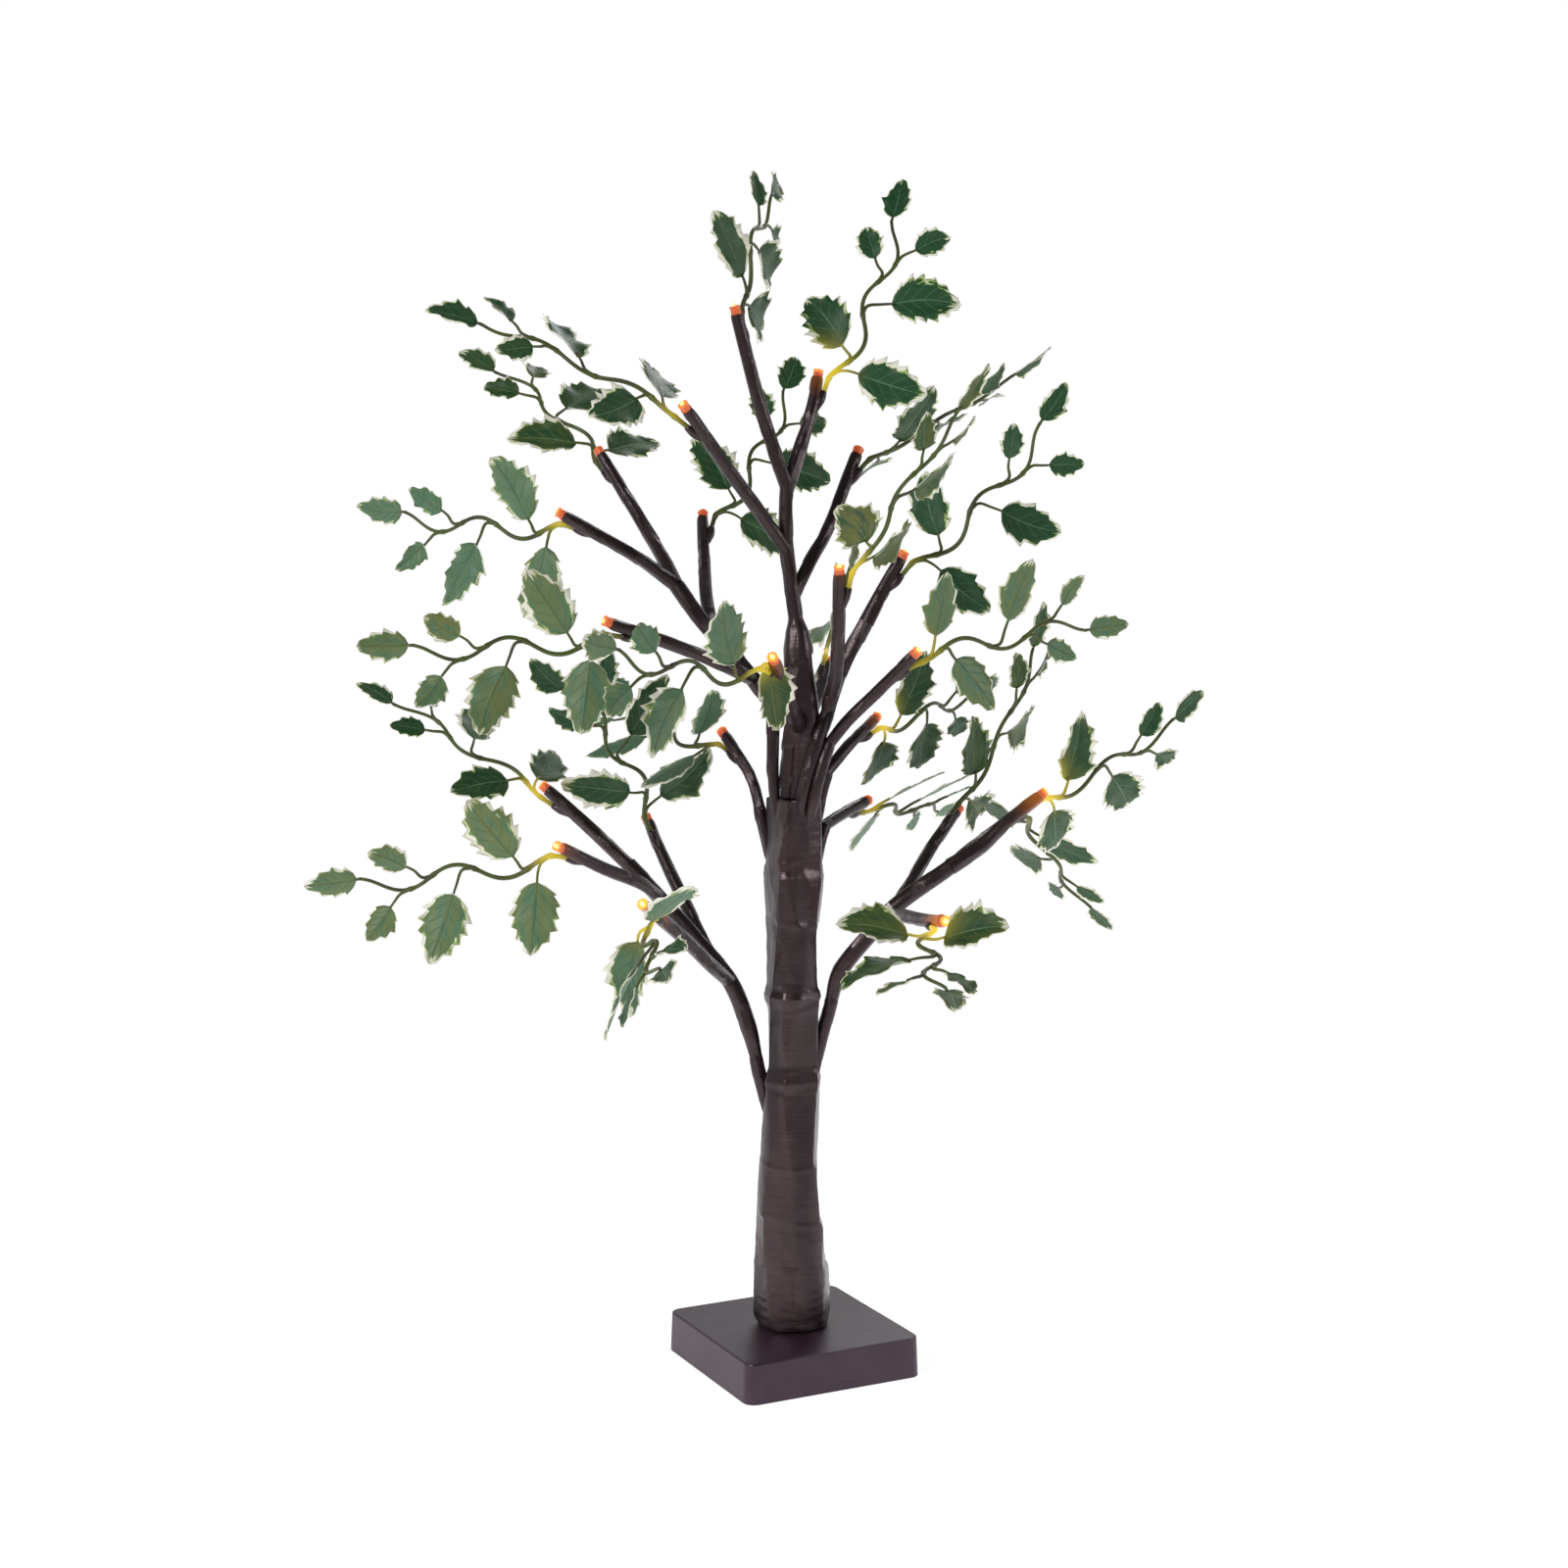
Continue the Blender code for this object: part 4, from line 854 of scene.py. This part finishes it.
def film_radius(settings, stations, knots, radii, seed, is_twig):
    """The radius of a limb's film: its given radii, crumpled, with a lap that winds along it."""
    length = stations[-1]

    def radius(turn, station):
        plain = float(np.interp(station, knots, radii))
        wrap = 0.3 * floor(station / settings.pitch - turn + seed)
        shape = flats(turn, station, seed, 5, 38 * MM, wrap)
        uneven = 0.8 * (shape - 1) * plain
        uneven += crumpled(turn, station, seed, 15 * MM) * settings.crumple * min(plain, 4.5 * MM)
        lap = (station / settings.pitch - turn + seed) % 1.0
        step = settings.lap * (0.5 - lap) * (1.6 if plain > 5 * MM else 1.0)
        knuckle = 0.3 * MM * max(0.0, noise.noise(Vector((seed, 3.3, station / (7 * MM)))))
        mouth = 0.25 * MM * max(0.0, 1 - (length - station) / (2 * MM)) if is_twig else 0.0
        return plain + min(FILM_PROUD, uneven + step + knuckle) - mouth

    return radius


def add_boughs(finish):
    """Each bough's film, limb by limb, with a rounded end at the lamps."""
    settings = bpy.context.scene.tree_film
    for number, (bough, limbs) in enumerate(BOUGHS.items()):
        bm = new_tube_mesh()
        for index, (name, foot_radius, rows) in enumerate(limbs):
            is_leader = (bough, name) == ("leader", "stem")
            points = [crown_point(*row) for row in rows]
            radii = limb_radii(name, foot_radius, len(points))
            even, stations, knots = smooth_route(points, 1.25 * MM)
            if is_leader:
                knots, radii = zip(*[(station * MM, size * MM) for station, size in LEADER_PROFILE])
            radius = film_radius(settings, stations, knots, radii, number * 7.3 + index * 2.9, name != "stem")
            if is_leader:
                radius = hollowed(radius, even)
            sleeve(bm, even, stations, radius, settings.sides * (2 if is_leader else 1))
        film = new_piece("bough_film_" + bough, bm, body_of(bough), [finish], ["bough_" + bough],
                         SHARP_EDGE)
        add_light_share(film, 18 * MM, 4)


def hollowed(radius, points):
    """A radius function with a hollow at the front of its first stretch, where the trunk's film gapes."""
    aside, over = ring_axes(points)[0]
    front = unit(-BACK - 0.35 * ACROSS)
    middle = atan2(np.dot(front, over), np.dot(front, aside)) / tau

    def with_hollow(turn, station):
        off = abs((turn - middle + 0.5) % 1.0 - 0.5) * 360
        depth = max(0.0, 1 - (off / 48) ** 4) * min(1.0, max(0.0, (46 * MM - station) / (18 * MM)))
        return radius(turn, station) - 4.2 * MM * depth

    return with_hollow


def add_collars(finish):
    """The film that leads from the trunk out to the foot of each bough, and stays with the trunk."""
    settings = bpy.context.scene.tree_film
    bm = new_tube_mesh()
    for number, (bough, (rows, radii)) in enumerate(COLLARS.items()):
        _, foot_radius, limb = BOUGHS[bough][0]
        foot, second = crown_point(*limb[0]), crown_point(*limb[1])
        route = [crown_point(*row) for row in rows] + [foot + unit(second - foot) * 2 * MM]
        even, stations, knots = smooth_route(route, 1.2 * MM)
        sizes = [size * MM for size in radii] + [(foot_radius + 0.35) * MM]
        radius = film_radius(settings, stations, knots, sizes, number * 3.1, True)
        sleeve(bm, even, stations, radius, settings.sides)
    collars = new_piece("bough_collars", bm, "stand", [finish], crease=SHARP_EDGE)
    add_light_share(collars, 8 * MM)


def add_lamps(cap_finish, bulb_finish):
    """A glowing cap and a bulb on every twig, one string for each bough."""
    seats = lamp_seats()
    # The cap's rings, from its seat over its mouth and back inside: order along it, height, share of radius.
    stations = np.array((0, 0.4, 1.2, 2.4, 3.6, 4.4, 4.8, 4.85, 4.9, 4.95)) * MM
    depths = np.array((0, 0.4, 1.2, 2.4, 3.6, 4.4, 4.8, 4.6, 3.6, 2.6)) * MM
    shares = (0.80, 0.92, 0.97, 0.92, 0.90, 0.97, 0.95, 0.80, 0.72, 0.66)
    for bough, limbs in BOUGHS.items():
        caps, bulbs = new_tube_mesh(), bmesh.new()
        cap_glow, bulb_glow = caps.verts.layers.float.new("glow"), bulbs.verts.layers.float.new("glow")
        for lamp in lamps_of(limbs):
            seat, axis = seats[lamp]
            seat = seat - axis * 0.8 * MM

            def radius(turn, station, lamp=lamp):
                share = float(np.interp(station, stations, shares))
                spot = Vector((cos(tau * turn) * 2.4 + lamp, sin(tau * turn) * 2.4, station / (2.6 * MM)))
                return LAMP_RADIUS * share * (1 + 0.20 * noise.noise(spot))

            first_cap = len(caps.verts)
            straight_sleeve(caps, seat, axis, stations, depths, radius, 16)
            for vert in caps.verts[first_cap:]:
                vert[cap_glow] = LAMP_GLOW[lamp]
            first_bulb = len(bulbs.verts)
            turned_up = Vector(axis).to_track_quat('Z', 'Y').to_matrix().to_4x4()
            dome = Matrix.Translation(Vector(seat + axis * 4.5 * MM)) @ turned_up
            bmesh.ops.create_uvsphere(bulbs, u_segments=14, v_segments=9, radius=1.2 * MM,
                                      matrix=dome @ Matrix.Diagonal((1, 1, 1.35, 1)))
            bulbs.verts.ensure_lookup_table()
            for vert in bulbs.verts[first_bulb:]:
                vert[bulb_glow] = LAMP_GLOW[lamp]
        new_piece("lamp_caps_" + bough, caps, body_of(bough), [cap_finish], ["lamps_" + bough])
        new_piece("lamp_bulbs_" + bough, bulbs, body_of(bough), [bulb_finish])


def straight_sleeve(bm, foot, axis, stations, depths, radius, sides):
    """A sleeve on a straight line, whose rings may turn back inside it."""
    first = len(bm.verts)
    line = np.array([foot + axis * MM * index for index in range(len(stations))])
    sleeve(bm, line, stations, radius, sides)
    bm.verts.ensure_lookup_table()
    run = bm.verts.layers.float["run"]
    for vert in bm.verts[first:]:
        index = int(np.argmin(abs(stations - vert[run])))
        vert.co += Vector(axis * (depths[index] - index * MM))


def tapered(stations, foot_radius, tip_radius, lumps=()):
    """A radius that runs from foot to tip, thicker at each lump."""
    def radius(turn, station):
        share = station / stations[-1]
        swell = sum(0.45 * MM * max(0.0, 1 - abs(station - lump) / (2.5 * MM)) for lump in lumps)
        return foot_radius + (tip_radius - foot_radius) * share + swell

    return radius


def leaf_rows(lamp):
    """Each leaf of a spray: its stalk's route, the leaf's base, direction, side and face, and its size."""
    _, _, _, bend, size = SPRAYS[lamp]
    _, heading, side, face = spray_frame(lamp)
    hand = 1 if size > 0 else -1
    steps = 50
    points, headings = spray_stem(lamp, steps)
    rows = []
    for place, (station, leaf_side, stalk, angle, roll, leaf_size) in enumerate(LEAVES):
        more_roll, more_angle, lift, stalk_share = LEAF_POSES.get((lamp, place), (0, 0, 0, 1.0))
        roll += more_roll
        angle += more_angle
        stalk *= stalk_share
        index = round(station * steps)
        foot = points[index]
        swing = hand * leaf_side * radians(angle)
        reach = radians(bend) * (station - 0.5) + swing * STALK_REACH
        along = turned(heading * cos(reach) + side * sin(reach), heading, radians(lift))
        across = turned(side * cos(reach) - heading * sin(reach), heading, radians(lift))
        across = turned(across, along, radians(roll))
        leaf_face = turned(turned(face, heading, radians(lift)), along, radians(roll))
        base = foot + along * stalk
        rest = swing * (1 - STALK_REACH)
        leaf_along = along * cos(rest) + across * sin(rest)
        leaf_across = across * cos(rest) - along * sin(rest)
        early = foot + headings[index] * stalk * 0.25 + along * stalk * 0.2
        late = base - leaf_along * stalk * 0.3
        route = [foot, early, late, base + leaf_along * leaf_size[0] * 0.05]
        rows.append((route, base, leaf_along, leaf_across, leaf_face, leaf_size))
    return rows


def add_leaf(bm, row, chance, teeth_wanted, hand, warmth, life):
    """A leaf: a grid drawn in to a toothed oval, folded along its rib, arched and rippled."""
    _, base, along, across, face, (length, width) = row
    if life < 1:
        length, width = length * CALM_LENGTH, width * CALM_WIDTH
    face = face * hand
    is_large = width > 20 * MM
    teeth = teeth_wanted if is_large else teeth_wanted - 2
    rows_each = 4
    columns, rows = (8, teeth * rows_each) if is_large else (6, teeth * rows_each)
    uv = bm.loops.layers.uv["UVMap"]
    tone, warm = bm.verts.layers.float["tone"], bm.verts.layers.float["warm"]
    verts = bmesh.ops.create_grid(bm, x_segments=columns, y_segments=rows, size=0.5)["verts"]
    faces = {face_of for vert in verts for face_of in vert.link_faces}
    for leaf_face in faces:
        for loop in leaf_face.loops:
            loop[uv].uv = (loop.vert.co.x + 0.5, loop.vert.co.y + 0.5)
    leaf_tone = chance.random()
    leaf_warmth = warmth * chance.uniform(0.5, 1.3)
    fold = chance.uniform(0.08, 0.40) * life
    arch = chance.uniform(0.02, 0.20) * life
    twist = chance.uniform(-0.35, 0.35) * life
    ripple = chance.uniform(0.5, 1.2) * 0.055 * width * life
    phase = chance.uniform(0, tau)
    bow = chance.uniform(-0.06, 0.06) * length
    spikes = [[chance.uniform(0.15, 0.33) for _ in range(teeth + 1)] for _ in range(2)]
    for vert in verts:
        u, v = vert.co.x * -2 * hand, vert.co.y + 0.5
        row_index = round(v * rows)
        oval = max(0.0, sin(pi * v ** 0.76)) ** 0.70 * (1 - 0.10 * v)
        tooth, rise = divmod(row_index, rows_each)
        rise /= rows_each - 1
        spike = spikes[u > 0][tooth] * rise ** 1.5 * abs(u) ** 6 if 0 < row_index < rows else 0.0
        spike *= sin(pi * min(0.95, max(0.05, v))) ** 0.45
        x = width / 2 * u * (oval * 0.93 + spike) + bow * sin(pi * v)
        y = length * (v + 0.16 * spike * (1 - v)) + 0.02 * length * abs(u) * (0.5 - v)
        wave = ripple * abs(u) ** 2 * sin(v * tau * 2.2 + phase + (u > 0) * 1.7)
        z = fold * abs(x) - arch * length * v * v + wave
        z += twist * x * v - fold * 0.1 * width
        vert.co = Vector(base + along * y + across * x + face * z)
        vert[tone] = leaf_tone
        vert[warm] = leaf_warmth


def add_sprays(leaf_front, leaf_back, stem_finish):
    """Every spray: a stem with its stalks, bound to its twig, and its six leaves."""
    leaf = bpy.context.scene.tree_leaf
    reach = bpy.context.scene.tree_lamp.reach
    bodies = {lamp: body_of(bough) for bough, limbs in BOUGHS.items() for lamp in lamps_of(limbs)}
    for lamp in SPRAYS:
        chance = random.Random(lamp)
        rows = leaf_rows(lamp)
        points, axis, inward = stem_start(lamp, 24)
        start = points[0] - axis * SPRAY_BIND + inward * 1.2 * MM
        even, stations, _ = smooth_route([start, points[0] - axis * 3 * MM] + points[1:], 1.6 * MM)
        stems = new_tube_mesh()
        lumps = [float(stations[np.argmin(np.linalg.norm(even - row[0][0], axis=1))]) for row in rows[:-1]]
        sleeve(stems, even, stations, tapered(stations, STEM_RADIUS * 1.1, STEM_RADIUS * 0.72, lumps), 8)
        for row in rows:
            stalk, stalk_stations, _ = smooth_route(row[0], 1.3 * MM)
            sleeve(stems, stalk, stalk_stations, tapered(stalk_stations, 0.95 * MM, 0.62 * MM), 6)
        stem = new_piece(f"spray_stem_{lamp:02d}", stems, bodies[lamp], [stem_finish])
        add_light_share(stem, reach)
        blades = bmesh.new()
        blades.loops.layers.uv.new("UVMap")
        blades.verts.layers.float.new("tone")
        blades.verts.layers.float.new("warm")
        hand = 1 if SPRAYS[lamp][4] > 0 else -1
        life = CALM_LIFE if lamp in CALM_SPRAYS else 1.0
        for row in rows:
            add_leaf(blades, row, chance, leaf.teeth, hand, SPRAY_WARMTH.get(lamp, 0.1), life)
        mesh = bpy.data.meshes.new(f"spray_leaves_{lamp:02d}")
        blades.to_mesh(mesh)
        blades.free()
        piece = bpy.data.objects.new(mesh.name, mesh)
        bpy.context.scene.collection.objects.link(piece)
        mesh.materials.append(leaf_front)
        mesh.materials.append(leaf_back)
        mesh.shade_smooth()
        thick = piece.modifiers.new("thickness", 'SOLIDIFY')
        thick.thickness = leaf.thickness
        thick.offset = -1.0
        thick.material_offset = 1
        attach(piece, bodies[lamp])
        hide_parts(f"leaf_spray_{lamp:02d}")
        add_light_share(piece, reach)


def add_bindings(finish):
    """A turn of film that binds each spray's stem to its twig."""
    settings = bpy.context.scene.tree_film
    for bough, limbs in BOUGHS.items():
        bm = new_tube_mesh()
        for lamp in lamps_of(limbs):
            (root, *_), axis, inward = stem_start(lamp, 24)
            route = [root - axis * (SPRAY_BIND + 5 * MM) + inward * 2.6 * MM,
                     root - axis * SPRAY_BIND + inward * 1.2 * MM,
                     root - axis * 4 * MM + inward * 0.2 * MM]
            even, stations, knots = smooth_route(route, 1.1 * MM)
            sizes = [1.2 * MM, 2.1 * MM, 1.75 * MM]
            radius = film_radius(settings, stations, knots, sizes, lamp * 1.7, True)
            sleeve(bm, even, stations, radius, 12)
        binding = new_piece("stem_bindings_" + bough, bm, body_of(bough), [finish])
        add_light_share(binding, 6 * MM)


def add_floor():
    """A pale floor that shines a little, so that it stays plain under the tree."""
    bm = bmesh.new()
    bmesh.ops.create_circle(bm, cap_ends=True, segments=96, radius=FLOOR_RADIUS)
    mesh = bpy.data.meshes.new("floor")
    bm.to_mesh(mesh)
    bm.free()
    pale = Finish("floor_paper", roughness=0.9)
    pale.shade(Base_Color=(0.8, 0.8, 0.8), Emission_Color=(1.0, 1.0, 1.0), Emission_Strength=0.7)
    mesh.materials.append(pale.material)
    floor = bpy.data.objects.new("floor", mesh)
    bpy.context.scene.collection.objects.link(floor)


def set_world(stage):
    """White from behind the tree and below, weaker from above and from the front."""
    world = bpy.data.worlds.new("studio")
    world.use_nodes = True
    nodes, links = world.node_tree.nodes, world.node_tree.links
    direction = nodes.new("ShaderNodeTexCoord").outputs["Generated"]
    strength = None
    for axis, low, high, low_value, high_value in ((UP, 0.19, 0.42, 1.0, stage.daylight),
                                                   (BACK, -0.35, 0.55, stage.front, 1.0)):
        along = nodes.new("ShaderNodeVectorMath")
        along.operation = 'DOT_PRODUCT'
        along.inputs[1].default_value = Vector(axis)
        links.new(direction, along.inputs[0])
        ramp = nodes.new("ShaderNodeMapRange")
        ramp.interpolation_type = 'SMOOTHSTEP'
        links.new(along.outputs["Value"], ramp.inputs["Value"])
        limits = {"From Min": low, "From Max": high, "To Min": low_value, "To Max": high_value}
        for name, value in limits.items():
            ramp.inputs[name].default_value = value
        if strength is not None:
            both = nodes.new("ShaderNodeMath")
            both.operation = 'MULTIPLY'
            links.new(strength, both.inputs[0])
            links.new(ramp.outputs["Result"], both.inputs[1])
            strength = both.outputs[0]
        else:
            strength = ramp.outputs["Result"]
    links.new(strength, nodes["Background"].inputs["Strength"])
    nodes["Background"].inputs["Color"].default_value = (1.0, 1.0, 1.0, 1.0)
    bpy.context.scene.world = world


def set_stage():
    """A pale floor, soft light and the camera."""
    scene = bpy.context.scene
    stage = scene.tree_stage
    add_floor()
    set_world(stage)
    middle = Vector((0.0, 0.0, (CAD_BOX[0].z + CAD_BOX[1].z) / 2))
    for name, (across, back, up, size, power) in STUDIO_LAMPS.items():
        lamp = bpy.data.lights.new(name, 'AREA')
        lamp.size, lamp.energy = size, power
        place = Vector(across * ACROSS + back * BACK + up * UP)
        light = bpy.data.objects.new(name, lamp)
        light.location = place
        light.rotation_euler = (middle - place).to_track_quat('-Z', 'Y').to_euler()
        scene.collection.objects.link(light)
    data = bpy.data.cameras.new("camera")
    data.lens, data.sensor_width = stage.lens, 36.0
    camera = bpy.data.objects.new("camera", data)
    camera.location = Vector(-stage.distance * BACK + CAMERA_ACROSS * ACROSS + stage.height * UP)
    forward = BACK * cos(stage.pitch) - UP * sin(stage.pitch)
    camera.rotation_euler = Vector(forward).to_track_quat('-Z', 'Y').to_euler()
    scene.collection.objects.link(camera)
    scene.camera = camera
    scene.view_settings.view_transform = 'Standard'


# ---------------------------------------------------------------- operators
class TREE_OT_base(bpy.types.Operator):
    """Give the base and everything in it their finishes"""
    bl_idname = "tree.base"
    bl_label = "Dress the Base"

    def execute(self, context):
        dress_frame()
        return {'FINISHED'}


class TREE_OT_film(bpy.types.Operator):
    """Wrap the trunk and the boughs in bark film"""
    bl_idname = "tree.film"
    bl_label = "Wrap the Film"

    def execute(self, context):
        finish = bark_film(context.scene.tree_film)
        add_trunk(finish)
        add_boughs(finish)
        add_collars(finish)
        add_bindings(finish)
        return {'FINISHED'}


class TREE_OT_lamps(bpy.types.Operator):
    """Put a lit lamp on every twig"""
    bl_idname = "tree.lamps"
    bl_label = "Add the Lamps"

    def execute(self, context):
        lamp = context.scene.tree_lamp
        add_lamps(lamp_cap(lamp), lamp_bulb(lamp))
        return {'FINISHED'}


class TREE_OT_sprays(bpy.types.Operator):
    """Grow a leaf spray beside every lamp"""
    bl_idname = "tree.sprays"
    bl_label = "Add the Leaf Sprays"

    def execute(self, context):
        leaf = context.scene.tree_leaf
        add_sprays(leaf_green(leaf, "front"), leaf_green(leaf, "back"), stem_green(leaf))
        return {'FINISHED'}


class TREE_OT_stage(bpy.types.Operator):
    """Set the floor, the light and the camera"""
    bl_idname = "tree.stage"
    bl_label = "Set the Stage"

    def execute(self, context):
        set_stage()
        return {'FINISHED'}


class TREE_PT_panel(bpy.types.Panel):
    """Lists the tree's settings and steps"""
    bl_label = "Tabletop Tree"
    bl_idname = "TREE_PT_panel"
    bl_space_type = 'VIEW_3D'
    bl_region_type = 'UI'
    bl_category = "Tree"

    def draw(self, context):
        for name, kind in SETTINGS.items():
            box = self.layout.box()
            for prop in kind.__annotations__:
                box.prop(getattr(context.scene, name), prop)
        for operator in OPERATORS:
            self.layout.operator(operator.bl_idname)


SETTINGS = {"tree_base": BaseSettings, "tree_film": FilmSettings, "tree_leaf": LeafSettings,
            "tree_lamp": LampSettings, "tree_stage": StageSettings}
OPERATORS = (TREE_OT_base, TREE_OT_film, TREE_OT_lamps, TREE_OT_sprays, TREE_OT_stage)


def register():
    """Add the settings, the operators and the panel."""
    for name, kind in SETTINGS.items():
        bpy.utils.register_class(kind)
        setattr(bpy.types.Scene, name, PointerProperty(type=kind))
    for kind in (*OPERATORS, TREE_PT_panel):
        bpy.utils.register_class(kind)


def unregister():
    """Take them away again."""
    for kind in (TREE_PT_panel, *reversed(OPERATORS)):
        bpy.utils.unregister_class(kind)
    for name, kind in SETTINGS.items():
        delattr(bpy.types.Scene, name)
        bpy.utils.unregister_class(kind)


def main():
    """Build the tree's looks."""
    register()
    bpy.ops.tree.base()
    bpy.ops.tree.film()
    bpy.ops.tree.lamps()
    bpy.ops.tree.sprays()
    bpy.ops.tree.stage()


if __name__ == "__main__":
    main()
